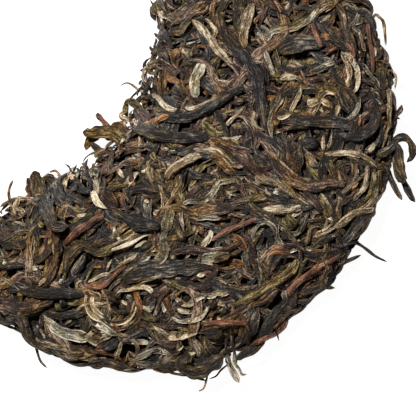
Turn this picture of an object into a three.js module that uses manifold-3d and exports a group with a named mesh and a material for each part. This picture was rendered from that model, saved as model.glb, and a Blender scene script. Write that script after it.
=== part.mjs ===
// A pressed tea cake of whole twisted leaves with one side broken away, in millimetres, +Z up.
// The cake lies flat on the table, with its broken side towards -X and +Y.
// A smaller core holds the body, and the leaves that show are fused on at their real size.
import * as THREE from "three";
import { mergeVertices } from "three/addons/utils/BufferGeometryUtils.js";
import Module from "manifold-3d";

const wasm = await Module();
wasm.setup();

// The cake as it was pressed
const CAKE_RADIUS = 100;
const CROWN_HEIGHT = 25;
const RIM_HEIGHT = 6.5;
const DOME_POWER = 2.4;
const SHOULDER_POWER = 0.45;
const FOOT_POWER = 12;

// Where the middle of the whole cake lies, from the middle of what is left of it
const CAKE_CENTRE = [-8.9, 5.3];

// The broken side: two break lines, each as a point on it and the turn of its open side,
// with the corner between them rounded
const LOWER_BREAK = { at: [-31, -13.4], openSide: THREE.MathUtils.degToRad(110) };
const RIGHT_BREAK = { at: [-4, 29], openSide: THREE.MathUtils.degToRad(172.5) };
const BREAK_CORNER_RADIUS = 22;
const BREAK_SLOPE = 0.85;
const BREAK_FOOT_HEIGHT = 3;
const BREAK_RAGGEDNESS = 1.1;
const BREAK_WAVES = [
  { share: 1, length: 33, shift: 0 },
  { share: 0.7, length: 18, shift: 1 },
  { share: 0.6, length: 69, shift: 2 },
];

// The core, under the leaves that lie on it
const CORE_DEPTH = 1.8;
const CORE_RIM_DEPTH = 0.5;
const CORE_MIDDLE = [32, -42];
const CORE_ANGLES = 52;
const CORE_RINGS = [0.25, 0.5, 0.7, 0.84, 0.93, 1];
const CORE_FOOT_HEIGHT = 1.1;
const CORE_FOOT_REACH = 0.95;

// The reference view that the leaves' places are given in
const VIEW_ELEVATION = THREE.MathUtils.degToRad(68);
const VIEW_AZIMUTH = THREE.MathUtils.degToRad(50);
const VIEW_DISTANCE = 1050;
const VIEW_TARGET = new THREE.Vector3(27.1, -39, 20);
const VIEW_MIDDLE = [208, 208];
const VIEW_FOCAL = 2.544 * VIEW_DISTANCE;

// Leaf sections, for a width of one: how high the ridge stands over the two edges, and how far
// under the pressed surface the edges lie. The keel runs down into the core.
const ROLLED = { ridge: 0.34, under: 0.16 };
const FLAT = { ridge: 0.12, under: 0.06 };
const THIN = { ridge: 0.5, under: 0 };
const PRESSED = { ridge: 0.12, under: -0.06 };
const KEEL_DEPTH = 1.9;
const STRAY_KEEL = 0.3;
const STRAY_ROOT = { inwards: 7, down: 1 };
const END_DIP = 1.2;

// Large rolled and folded leaves: width in mm, and the points of the view they pass through
const ROLLED_LEAVES = [
  [5.0, [[134, 127], [152, 134], [182, 138], [212, 138]]],
  [4.3, [[160, 119], [186, 116], [212, 106], [246, 89]]],
  [5.0, [[219, 8], [228, 38], [253, 68], [258, 95], [266, 130]]],
  [3.6, [[315, 20], [331, 37], [350, 54]]],
  [2.6, [[249, 129], [270, 140], [291, 163]]],
  [2.7, [[213, 146], [235, 155], [262, 180], [288, 191], [310, 206]]],
  [5.0, [[375, 110], [374, 126], [361, 137], [338, 134]]],
  [5.0, [[258, 136], [271, 156], [294, 181], [318, 187], [348, 184]]],
  [3.6, [[124, 197], [138, 190], [160, 192]]],
  [4.0, [[112, 214], [134, 221], [160, 226]]],
  [4.4, [[171, 208], [168, 230], [165, 252], [149, 261]]],
  [3.8, [[53, 217], [56, 245], [50, 278]]],
  [3.8, [[7, 290], [45, 293], [85, 295]]],
  [4.0, [[5, 305], [27, 309], [54, 299]]],
  [4.0, [[36, 317], [62, 330], [92, 339]]],
  [2.8, [[87, 291], [86, 306], [106, 320], [128, 318], [135, 299]]],
  [3.3, [[107, 250], [124, 246], [147, 233]]],
  [3.4, [[233, 307], [262, 292], [285, 276], [297, 258]]],
  [2.6, [[309, 238], [347, 218], [376, 208]]],
  [3.5, [[203, 61], [194, 82], [193, 99]]],
  [2.8, [[192, 20], [213, 42], [234, 66]]],
  [3.2, [[174, 16], [196, 13]]],
  [3.6, [[166, 181], [180, 165], [206, 155]]],
  [3.5, [[60, 237], [88, 222]]],
  [2.6, [[262, 209], [285, 210], [305, 207]]],
  [3.2, [[278, 78], [301, 79]]],
  [3.4, [[168, 335], [199, 331]]],
  [3.2, [[150, 341], [180, 346]]],
  [2.6, [[246, 345], [252, 352], [246, 358], [236, 357]]],
  [2.2, [[311, 212], [298, 234], [284, 231], [279, 222]]],
  [3.0, [[384, 172], [379, 197]]],
  [3.4, [[190, 286], [214, 288]]],
  [2.8, [[330, 208], [348, 197], [361, 184]]],
];

// Leaves that lie open
const FLAT_LEAVES = [
  [4.7, [[273, 122], [314, 121], [358, 127]]],
  [6.5, [[121, 280], [150, 271], [180, 268], [210, 264]]],
  [5.5, [[200, 256], [231, 250]]],
  [5.0, [[34, 170], [41, 194], [49, 221]]],
  [5.0, [[68, 249], [65, 276]]],
  [4.0, [[86, 250], [72, 276]]],
  [5.0, [[277, 50], [306, 38]]],
  [3.5, [[229, 235], [241, 239], [246, 252]]],
  [4.5, [[340, 243], [353, 232], [364, 217]]],
  [3.6, [[185, 213], [210, 209], [237, 207]]],
  [5.5, [[304, 90], [320, 90]]],
  [5.4, [[204, 342], [217, 353]]],
  [4.0, [[306, 106], [320, 100]]],
  [6.0, [[296, 144], [316, 142]]],
  [5.0, [[105, 190], [118, 207]]],
  [4.8, [[262, 193], [290, 198]]],
  [4.4, [[378, 75], [381, 92]]],
  [4.3, [[150, 35], [167, 38]]],
  [4.8, [[2, 240], [27, 244]]],
];

// Thin leaves, buds and stems
const THIN_LEAVES = [
  [1.9, [[83, 286], [98, 288], [113, 276], [128, 263]]],
  [1.9, [[123, 274], [139, 261], [158, 248]]],
  [2.0, [[114, 295], [126, 290], [143, 287], [155, 297]]],
  [2.4, [[172, 297], [187, 304], [207, 295], [235, 289]]],
  [1.9, [[172, 317], [186, 322], [204, 313], [211, 301]]],
  [2.0, [[203, 325], [248, 325]]],
  [2.0, [[337, 257], [310, 273], [286, 293]]],
  [2.2, [[314, 152], [350, 153], [367, 170], [352, 203]]],
  [2.4, [[379, 168], [374, 197], [362, 208]]],
  [2.2, [[319, 7], [301, 25], [270, 33], [267, 41]]],
  [1.6, [[369, 22], [373, 75]]],
  [2.4, [[252, 0], [244, 30], [246, 52]]],
  [2.2, [[244, 176], [222, 184], [206, 198], [181, 207]]],
  [1.8, [[254, 220], [210, 240]]],
  [2.0, [[101, 217], [84, 229], [64, 244]]],
  [2.2, [[208, 222], [209, 234], [190, 254]]],
  [1.8, [[301, 84], [290, 113]]],
  [1.8, [[122, 352], [133, 358], [155, 350]]],
  [1.8, [[58, 350], [106, 360]]],
  [2.0, [[122, 341], [116, 363]]],
  [2.0, [[278, 217], [277, 238], [287, 250]]],
];

// Loose ends that stand out past the rim and the broken side
const STRAY_ENDS = [
  [2.8, [[388, 146], [397, 142], [399, 164], [405, 185], [415, 201]]],
  [1.7, [[397, 142], [404, 137], [413, 148], [409, 162]]],
  [1.6, [[381, 168], [391, 182], [402, 200]]],
  [1.1, [[344, 243], [362, 245], [388, 262]]],
  [1.6, [[322, 285], [336, 290]]],
  [2.0, [[226, 345], [230, 366], [239, 383]]],
  [1.4, [[233, 346], [239, 368], [249, 375]]],
  [1.1, [[225, 362], [213, 378], [200, 391]]],
  [6.5, [[200, 352], [201, 367], [202, 380]]],
  [1.2, [[34, 338], [38, 356], [47, 368]]],
  [1.2, [[124, 92], [133, 85], [150, 99]]],
  [1.2, [[147, 84], [130, 100], [126, 110]]],
  [1.8, [[124, 152], [110, 131], [96, 113]]],
  [3.6, [[121, 134], [104, 132], [84, 131]]],
  [2.6, [[96, 132], [88, 142], [86, 152]]],
  [1.3, [[9, 206], [8, 190], [12, 180]]],
  [1.6, [[0, 208], [12, 200], [32, 200]]],
  [1.6, [[72, 166], [64, 184], [63, 202]]],
  [1.4, [[148, 0], [156, 10], [164, 24]]],
];

// Leaves laid by rule where no single leaf has to lie just so: how many, how far apart, their
// middle length and width, how far inside the rim and the broken edge they start
const SEED = 4107;
const TOP_LEAVES = { count: 27, apart: 8, length: 22, width: 4.4, section: ROLLED, fromRim: 5, fromBreak: 8 };
const BREAK_LEAVES = { count: 14, apart: 7, length: 14, width: 3.2, section: ROLLED, fromRim: 6, fromBreak: 3 };
const FOOT_LEAVES = { count: 8, apart: 14, length: 34, width: 7, section: PRESSED, fromRim: 18, fromBreak: 16 };
const RIM_LEAVES = { count: 22, length: 36, width: 4.2, section: ROLLED, fromBreak: 14 };
const REST_POINT = [23, -17];
const BREAK_BAND = 15;
const CLEAR_OF_NAMED = 5.5;
const RIM_LEVELS = [2.4, 10.5];
const RIM_RISE = 6;
const LOWEST_LEVEL = 1.2;
const GOLDEN_SHARE = 0.618;
const LARGEST_BEND = 0.9;
const LENGTH_SPREAD = 0.45;
const WIDTH_SPREAD = 0.35;

const LONGEST_STEP = 30;
const LARGEST_TURN = 0.8;
const TIP_SHARE = 0.35;
const RIDGE_LEAN = 0.1;
const LEAF_SECTION_SIDES = 4;
const LEAF_COLOUR = 0x4b4237;

// Repeatable random numbers from 0 to 1
let seedState = SEED;
function random() {
  seedState = (seedState * 1664525 + 1013904223) % 4294967296;
  return seedState / 4294967296;
}

// A number spread evenly about a middle value, by a share of it
function around(middle, share) {
  return middle * (1 + share * (2 * random() - 1));
}

// How high the pressed top is at a distance from the cake's middle
function domeHeight(radius) {
  const inward = 1 - Math.min(radius / CAKE_RADIUS, 1) ** DOME_POWER;
  return RIM_HEIGHT + (CROWN_HEIGHT - RIM_HEIGHT) * inward ** SHOULDER_POWER;
}

// How far a point lies beyond a break line, on its open side
function beyondLine(line, x, y) {
  const [atX, atY] = line.at;
  return (x - atX) * Math.cos(line.openSide) + (y - atY) * Math.sin(line.openSide);
}

// How far the broken edge wanders at a distance along it
function breakWander(along) {
  const parts = BREAK_WAVES.map((wave) => wave.share * Math.sin((2 * Math.PI * along) / wave.length + wave.shift));
  return BREAK_RAGGEDNESS * parts.reduce((sum, part) => sum + part, 0);
}

// How far inside the broken edge a point lies. Where both break lines are near they round
// into one corner, and the edge wanders along its length.
function insideBreak(x, y) {
  const a = beyondLine(LOWER_BREAK, x, y);
  const b = beyondLine(RIGHT_BREAK, x, y);
  const R = BREAK_CORNER_RADIUS;
  const beyond = a < R && b < R ? R - Math.hypot(R - a, R - b) : Math.min(a, b);
  return breakWander(x - y) - beyond;
}

// The height of the cake's upper side: the dome, brought down along the broken face
function surfaceHeight(x, y) {
  const face = BREAK_FOOT_HEIGHT + BREAK_SLOPE * insideBreak(x, y);
  return Math.max(Math.min(domeHeight(Math.hypot(x, y)), face), BREAK_FOOT_HEIGHT);
}

// The way the upper side faces, taken over a few millimetres so that leaves lie over its edges
function surfaceNormal(x, y) {
  const reach = 4;
  const slopeX = (surfaceHeight(x + reach, y) - surfaceHeight(x - reach, y)) / (2 * reach);
  const slopeY = (surfaceHeight(x, y + reach) - surfaceHeight(x, y - reach)) / (2 * reach);
  return new THREE.Vector3(-slopeX, -slopeY, 1).normalize();
}

// The reference view's own three directions: towards the eye, up and right
function viewDirections() {
  const level = Math.cos(VIEW_ELEVATION);
  const toEye = new THREE.Vector3(
    Math.sin(VIEW_AZIMUTH) * level,
    -Math.cos(VIEW_AZIMUTH) * level,
    Math.sin(VIEW_ELEVATION),
  );
  const up = new THREE.Vector3(0, 1, 0);
  up.addScaledVector(toEye, -toEye.y).normalize();
  return { toEye, up, right: new THREE.Vector3().crossVectors(up, toEye) };
}

const VIEW = viewDirections();
const EYE = VIEW_TARGET.clone().addScaledVector(VIEW.toEye, VIEW_DISTANCE);

// The point of the upper side that a point of the view shows
function pointOnCake([across, down]) {
  const ray = VIEW.toEye.clone().multiplyScalar(-VIEW_FOCAL);
  ray.addScaledVector(VIEW.right, across - VIEW_MIDDLE[0]);
  ray.addScaledVector(VIEW.up, VIEW_MIDDLE[1] - down);
  const point = new THREE.Vector3();
  let height = RIM_HEIGHT;
  for (let pass = 0; pass < 12; pass += 1) {
    point.copy(EYE).addScaledVector(ray, (height - EYE.z) / ray.z);
    height = (height + surfaceHeight(point.x, point.y)) / 2;
  }
  return point;
}

// How many straight steps a curve needs: more where it is long and where it turns
function stepsAlong(curve) {
  const probes = 12;
  let turning = 0;
  for (let probe = 0; probe < probes; probe += 1) {
    const here = curve.getTangentAt(probe / probes);
    turning += here.angleTo(curve.getTangentAt((probe + 1) / probes));
  }
  return Math.max(2, Math.round(curve.getLength() / LONGEST_STEP + turning / LARGEST_TURN));
}

// One leaf along a curve: a section of two edges, a ridge and a keel, widest in its middle
// third. Its ends are narrow and dip, and the ridge leans a little to one side and back.
function leafGeometry(points, width, section, keel, dip, facing) {
  const curve = new THREE.CatmullRomCurve3(points);
  const steps = stepsAlong(curve);
  const lean = around(RIDGE_LEAN, 2) * width;
  const positions = [];
  for (let step = 0; step <= steps; step += 1) {
    const t = step / steps;
    const centre = curve.getPointAt(t);
    const tangent = curve.getTangentAt(t);
    const normal = facing(centre);
    const side = new THREE.Vector3().crossVectors(normal, tangent).normalize();
    const up = new THREE.Vector3().crossVectors(tangent, side);
    const swell = TIP_SHARE + (1 - TIP_SHARE) * Math.sin(Math.PI * (0.12 + 0.76 * t)) ** 0.8;
    const half = (width * swell) / 2;
    centre.addScaledVector(up, -width * section.under - dip * (2 * t - 1) ** 6);
    const corners = [
      [half, 0],
      [lean * Math.sin(2 * Math.PI * t), width * section.ridge * swell],
      [-half, 0],
      [0, -keel],
    ];
    for (const [across, above] of corners) {
      const out = centre.clone().addScaledVector(side, across).addScaledVector(up, above);
      positions.push(out.x, out.y, out.z);
    }
  }
  return closedTube(positions, steps + 1, LEAF_SECTION_SIDES);
}

// Faces for rings of points that follow each other, with a flat end on the first and last ring
function closedTube(positions, rings, sides) {
  const faces = [];
  for (let ring = 0; ring < rings - 1; ring += 1) {
    for (let corner = 0; corner < sides; corner += 1) {
      const here = ring * sides + corner;
      const beside = ring * sides + ((corner + 1) % sides);
      faces.push(here, beside, here + sides, beside, beside + sides, here + sides);
    }
  }
  const last = (rings - 1) * sides;
  for (let corner = 1; corner < sides - 1; corner += 1) {
    faces.push(0, corner + 1, corner);
    faces.push(last, last + corner, last + corner + 1);
  }
  const geometry = new THREE.BufferGeometry();
  geometry.setAttribute("position", new THREE.Float32BufferAttribute(positions, 3));
  geometry.setIndex(faces);
  return geometry;
}

// How far the cake reaches from the core's middle in one direction, before its rim or its break
function reachOfCake(angle) {
  let near = 0;
  let far = 2 * CAKE_RADIUS;
  for (let pass = 0; pass < 30; pass += 1) {
    const middle = (near + far) / 2;
    const x = CORE_MIDDLE[0] + middle * Math.cos(angle);
    const y = CORE_MIDDLE[1] + middle * Math.sin(angle);
    const inside = Math.hypot(x, y) < CAKE_RADIUS - CORE_RIM_DEPTH && insideBreak(x, y) > CORE_DEPTH;
    if (inside) near = middle;
    else far = middle;
  }
  return near;
}

// One ring of the core, at a share of the cake's reach and at a height for each place
function coreRing(share, heightAt) {
  const positions = [];
  for (let step = 0; step < CORE_ANGLES; step += 1) {
    const angle = (-step / CORE_ANGLES) * 2 * Math.PI;
    const reach = reachOfCake(angle) * share;
    const x = CORE_MIDDLE[0] + reach * Math.cos(angle);
    const y = CORE_MIDDLE[1] + reach * Math.sin(angle);
    positions.push(x, y, heightAt(x, y));
  }
  return positions;
}

// The core: rings about its middle, out along the upper side and back under the foot
function coreGeometry() {
  const edgeHeight = RIM_HEIGHT - CORE_DEPTH;
  const underLeaves = (x, y) => Math.max(surfaceHeight(x, y) - CORE_DEPTH, edgeHeight);
  const rings = CORE_RINGS.map((share) => coreRing(share, share < 1 ? underLeaves : () => edgeHeight));
  rings.push(coreRing(CORE_FOOT_REACH, () => CORE_FOOT_HEIGHT));
  return closedTube(rings.flat(), rings.length, CORE_ANGLES);
}

// A closed mesh as a solid
function solidOf(geometry) {
  const bare = geometry.clone();
  bare.deleteAttribute("normal");
  bare.deleteAttribute("uv");
  const merged = mergeVertices(bare);
  const mesh = new wasm.Mesh({
    numProp: 3,
    vertProperties: new Float32Array(merged.attributes.position.array),
    triVerts: new Uint32Array(merged.index.array),
  });
  return new wasm.Manifold(mesh);
}

// The way the upper side faces at a point
function facingUp(point) {
  return surfaceNormal(point.x, point.y);
}

// A leaf of the upper side through points of the view
function leafInView([width, through], section) {
  const points = through.map(pointOnCake);
  return solidOf(leafGeometry(points, width, section, KEEL_DEPTH, END_DIP, facingUp));
}

// A loose end through points of the view, as thin under its edges as over them, with its root
// in the body
function strayInView([width, through]) {
  const points = through.map(pointOnCake);
  const root = points[0].clone();
  const inwards = new THREE.Vector3(CORE_MIDDLE[0] - root.x, CORE_MIDDLE[1] - root.y, 0).normalize();
  root.addScaledVector(inwards, STRAY_ROOT.inwards);
  root.z -= STRAY_ROOT.down;
  points.unshift(root);
  return solidOf(leafGeometry(points, width, ROLLED, STRAY_KEEL * width, 0, facingUp));
}

// Four points of a gentle arc about a middle point, on a surface of known height
function arcOver(x, y, kind, heightAt) {
  const length = around(kind.length, LENGTH_SPREAD);
  const heading = random() * Math.PI;
  const bend = LARGEST_BEND * (2 * random() - 1);
  return [-0.5, -0.17, 0.17, 0.5].map((share) => {
    const direction = heading + bend * share;
    const px = x + share * length * Math.cos(direction);
    const py = y + share * length * Math.sin(direction);
    return new THREE.Vector3(px, py, heightAt(px, py));
  });
}

// A leaf laid by rule on the upper side
function leafOnTop(x, y, kind) {
  const points = arcOver(x, y, kind, surfaceHeight);
  const width = around(kind.width, WIDTH_SPREAD);
  return solidOf(leafGeometry(points, width, kind.section, KEEL_DEPTH, END_DIP, facingUp));
}

// A leaf laid by rule under the foot, pressed flat by the table
function leafUnderFoot(x, y, kind) {
  const points = arcOver(x, y, kind, () => 0);
  const facingDown = () => new THREE.Vector3(0, 0, -1);
  const width = around(kind.width, WIDTH_SPREAD);
  return solidOf(leafGeometry(points, width, kind.section, KEEL_DEPTH, END_DIP, facingDown));
}

// A leaf that runs round the side wall, at a level that rises or falls a little
function leafOnRim(angle, level, kind) {
  const length = around(kind.length, LENGTH_SPREAD);
  const rise = RIM_RISE * (2 * random() - 1);
  const points = [-0.5, -0.17, 0.17, 0.5].map((share) => {
    const here = angle + (share * length) / CAKE_RADIUS;
    const height = Math.max(level + rise * share, LOWEST_LEVEL);
    const radius = rimRadius(height);
    return new THREE.Vector3(radius * Math.cos(here), radius * Math.sin(here), height);
  });
  const outward = (point) => new THREE.Vector3(point.x, point.y, 5 * (point.z - RIM_HEIGHT)).normalize();
  const width = around(kind.width, WIDTH_SPREAD);
  return solidOf(leafGeometry(points, width, kind.section, KEEL_DEPTH, END_DIP, outward));
}

// How far the side wall stands from the cake's middle at one height
function rimRadius(height) {
  if (height < RIM_HEIGHT) {
    const down = 1 - height / RIM_HEIGHT;
    return CAKE_RADIUS * (1 - down ** 2) ** (1 / FOOT_POWER);
  }
  const up = (height - RIM_HEIGHT) / (CROWN_HEIGHT - RIM_HEIGHT);
  return CAKE_RADIUS * (1 - up ** (1 / SHOULDER_POWER)) ** (1 / DOME_POWER);
}

// Leaves at random places inside the rim and the broken edge that a test accepts, no closer to
// each other than their kind's distance apart
function scatter(kind, accepts, place) {
  const placed = [];
  const leaves = [];
  for (let tries = 0; leaves.length < kind.count && tries < 20000; tries += 1) {
    const x = CAKE_RADIUS * (2 * random() - 1);
    const y = CAKE_RADIUS * (2 * random() - 1);
    const inside = Math.hypot(x, y) < CAKE_RADIUS - kind.fromRim && insideBreak(x, y) > kind.fromBreak;
    const free = placed.every(([px, py]) => Math.hypot(px - x, py - y) > kind.apart);
    if (!inside || !free || !accepts(x, y)) continue;
    placed.push([x, y]);
    leaves.push(place(x, y, kind));
  }
  return leaves;
}

// The middles of the leaves that have a place of their own, as points to keep clear of
function namedLeafMiddles() {
  const middles = [];
  for (const [, through] of [...ROLLED_LEAVES, ...FLAT_LEAVES, ...THIN_LEAVES]) {
    const points = through.map(pointOnCake);
    const curve = new THREE.CatmullRomCurve3(points);
    const steps = Math.ceil(curve.getLength() / 5);
    curve.getSpacedPoints(steps).forEach((point) => middles.push([point.x, point.y]));
  }
  return middles;
}

function topLeaves() {
  const named = namedLeafMiddles();
  const clear = (x, y) => named.every(([px, py]) => Math.hypot(px - x, py - y) > CLEAR_OF_NAMED);
  return scatter(TOP_LEAVES, clear, leafOnTop);
}

function breakLeaves() {
  const onFace = (x, y) => insideBreak(x, y) < BREAK_BAND;
  return scatter(BREAK_LEAVES, onFace, leafOnTop);
}

function rimLeaves() {
  const leaves = [];
  const [lowest, highest] = RIM_LEVELS;
  for (let index = 0; index < RIM_LEAVES.count; index += 1) {
    const angle = ((index + random() * 0.5) / RIM_LEAVES.count) * 2 * Math.PI;
    const inside = insideBreak(CAKE_RADIUS * Math.cos(angle), CAKE_RADIUS * Math.sin(angle));
    if (inside < RIM_LEAVES.fromBreak) continue;
    const level = lowest + (highest - lowest) * ((index * GOLDEN_SHARE) % 1);
    leaves.push(leafOnRim(angle, level, RIM_LEAVES));
  }
  return leaves;
}

// The leaves of the foot, one of them under the middle of the weight
function footLeaves() {
  const middleLeaf = leafUnderFoot(REST_POINT[0], REST_POINT[1], FOOT_LEAVES);
  return [middleLeaf, ...scatter(FOOT_LEAVES, () => true, leafUnderFoot)];
}

// The leaves, the core and the flat foot made one piece. Loose scraps and sealed hollows go.
function teaCake() {
  const leaves = [
    ...ROLLED_LEAVES.map((leaf) => leafInView(leaf, ROLLED)),
    ...FLAT_LEAVES.map((leaf) => leafInView(leaf, FLAT)),
    ...THIN_LEAVES.map((leaf) => leafInView(leaf, THIN)),
    ...STRAY_ENDS.map(strayInView),
    ...topLeaves(),
    ...rimLeaves(),
    ...breakLeaves(),
    ...footLeaves(),
  ];
  const joined = wasm.Manifold.union([solidOf(coreGeometry()), ...leaves]);
  const table = new THREE.BoxGeometry(4 * CAKE_RADIUS, 4 * CAKE_RADIUS, 40);
  table.translate(0, 0, -20);
  const rested = joined.subtract(solidOf(table));
  const bodies = rested.decompose();
  bodies.sort((a, b) => b.volume() - a.volume());
  const mesh = bodies[0].getMesh();
  const geometry = new THREE.BufferGeometry();
  geometry.setAttribute("position", new THREE.BufferAttribute(mesh.vertProperties, 3));
  geometry.setIndex(new THREE.BufferAttribute(mesh.triVerts, 1));
  return geometry;
}

const group = new THREE.Group();
const cake = new THREE.Mesh(
  teaCake(),
  new THREE.MeshStandardMaterial({ color: LEAF_COLOUR, roughness: 0.75, metalness: 0 }),
);
cake.name = "tea_cake";
cake.position.set(CAKE_CENTRE[0], CAKE_CENTRE[1], 0);
group.add(cake);

export default group;
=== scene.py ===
"""A pressed pu erh tea cake of whole twisted leaves, one side broken away, on a pale floor.

Leaves are laid one by one on a flattened copy of the cake's skin, each on what already lies
there, and the whole bed is then pressed down on the cake's own shape. The large leaves lie where
the picture shows them. The rest are laid by rule with seeded random numbers.
"""

import math

import bpy
import numpy as np
from mathutils import Matrix, Vector


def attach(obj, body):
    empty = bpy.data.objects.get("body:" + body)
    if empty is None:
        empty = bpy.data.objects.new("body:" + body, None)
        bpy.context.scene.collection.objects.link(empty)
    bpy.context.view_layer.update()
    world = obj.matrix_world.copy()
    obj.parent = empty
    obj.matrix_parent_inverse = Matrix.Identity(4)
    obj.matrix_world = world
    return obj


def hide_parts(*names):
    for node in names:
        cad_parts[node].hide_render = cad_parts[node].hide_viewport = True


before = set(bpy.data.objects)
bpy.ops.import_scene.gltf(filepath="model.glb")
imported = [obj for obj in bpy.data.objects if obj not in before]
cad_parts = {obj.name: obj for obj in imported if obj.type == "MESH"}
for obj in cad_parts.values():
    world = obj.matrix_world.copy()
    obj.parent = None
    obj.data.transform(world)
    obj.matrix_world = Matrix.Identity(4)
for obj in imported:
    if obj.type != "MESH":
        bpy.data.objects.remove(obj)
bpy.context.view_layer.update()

# Sizes of the cake in millimetres, as in the part's own source
CAKE_RADIUS = 100.0
CROWN_HEIGHT = 25.0
RIM_HEIGHT = 6.5
DOME_POWER = 2.4
SHOULDER_POWER = 0.45
FOOT_POWER = 12.0
FOOT_EDGE_HEIGHT = 1.0
CAKE_CENTRE = np.array([-8.9, 5.3, 0.0])
LOWER_BREAK = {"at": (-31.0, -13.4), "open_side": math.radians(110.0)}
RIGHT_BREAK = {"at": (-4.0, 29.0), "open_side": math.radians(172.5)}
BREAK_CORNER_RADIUS = 22.0
BREAK_SLOPE = 0.85
BREAK_FOOT_HEIGHT = 3.0
BREAK_RAGGEDNESS = 1.1
BREAK_WAVES = ((1.0, 33.0, 0.0), (0.7, 18.0, 1.0), (0.6, 69.0, 2.0))

# The dark body under the leaves, in millimetres: how far it stays under the top and in from the
# edges, and the heights of its foot and of its thinnest rim
CORE_MIDDLE = np.array([32.0, -42.0])
CORE_DEPTH = 5.5
CORE_INSET = 4.5
CORE_FOOT_HEIGHT = 2.2
CORE_RIM_HEIGHT = 2.9

# The reference view: angles, distance and aim in the cake's own millimetres
VIEW_ELEVATION = math.radians(68.0)
VIEW_AZIMUTH = math.radians(50.0)
VIEW_DISTANCE = 1050.0
VIEW_TARGET = np.array([27.1, -39.0, 20.0])
PICTURE_SIZE = 416
PICTURE_MIDDLE = 208.0
PIXELS_PER_MM = 2.544
MM_PER_PIXEL = 1 / PIXELS_PER_MM
VIEW_FOCAL = PIXELS_PER_MM * VIEW_DISTANCE
SENSOR_WIDTH = 36.0

SEED = 4107
rng = np.random.default_rng(SEED)

# Leaves that lie where the picture shows them. Each is a width in picture pixels and then the
# points that its middle line passes through, in the 416 by 416 picture.
CHARCOAL = {
    "rolled": [
        (13, (134, 127), (150, 133), (170, 137), (190, 138), (212, 138)),
        (12, (219, 8), (222, 22), (231, 44), (246, 58), (256, 74), (259, 90), (262, 106), (266, 130)),
        (11, (160, 119), (178, 117), (195, 114), (210, 108), (222, 100), (236, 92), (246, 89)),
        (6, (291, 8), (302, 7), (313, 6)), (9, (315, 20), (325, 31), (337, 42), (350, 54)),
        (5, (249, 129), (263, 135), (272, 141), (281, 148), (287, 155), (291, 163)),
        (12, (375, 110), (376, 118), (373, 127), (366, 134), (357, 138), (345, 137), (338, 133)),
        (12, (300, 140), (310, 142), (319, 146)),
        (9, (124, 197), (130, 192), (140, 189), (152, 190), (160, 192)),
        (14, (108, 212), (120, 216), (133, 221), (146, 224), (162, 227)),
        (9, (60, 237), (70, 230), (80, 224), (88, 222)), (11, (88, 245), (78, 250), (68, 262), (66, 275)),
        (9, (86, 250), (80, 265), (72, 276)), (9, (7, 290), (20, 290), (40, 293), (60, 293), (85, 295)),
        (9, (0, 268), (12, 266), (25, 265)), (7, (12, 282), (22, 286), (30, 290)),
        (7, (38, 312), (55, 316), (80, 314), (87, 313)),
        (6, (310, 211), (306, 218), (303, 224), (300, 231), (296, 236)),
        (9, (100, 350), (110, 345), (120, 340)), (6, (54, 202), (65, 200), (78, 199), (84, 207)),
        (8, (135, 252), (145, 246), (155, 241)), (5, (184, 176), (195, 178), (205, 176)),
        (4, (382, 126), (381, 138), (380, 150)), (10, (177, 228), (181, 236), (184, 243)),
        (7, (303, 97), (303, 103), (301, 110)), (6, (160, 57), (155, 62), (147, 67)),
        (5, (151, 31), (156, 35), (165, 40)), (6, (92, 144), (99, 151), (108, 150)),
        (7, (63, 298), (62, 303), (64, 309)), (7, (170, 84), (180, 92), (186, 102)),
        (6, (286, 252), (276, 262), (270, 274)),
    ],
    "flat": [
        (12, (273, 122), (290, 120), (314, 121), (337, 123), (358, 127)),
        (18, (121, 279), (144, 271), (171, 268), (197, 266), (212, 262)),
        (18, (340, 88), (347, 101), (354, 115)), (17, (277, 50), (292, 46), (310, 43), (326, 46)),
        (11, (303, 90), (312, 89), (321, 90)), (13, (204, 342), (211, 350), (217, 358)),
        (12, (378, 75), (380, 83), (381, 92)), (12, (0, 243), (14, 244), (28, 245)),
        (10, (204, 332), (213, 333), (223, 331)), (12, (257, 308), (253, 322), (249, 337)),
        (9, (362, 214), (355, 226), (347, 237), (340, 245)), (11, (300, 149), (297, 160), (300, 171)),
        (8, (286, 74), (296, 71), (309, 68)), (12, (262, 193), (275, 195), (291, 200)),
    ],
}
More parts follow.
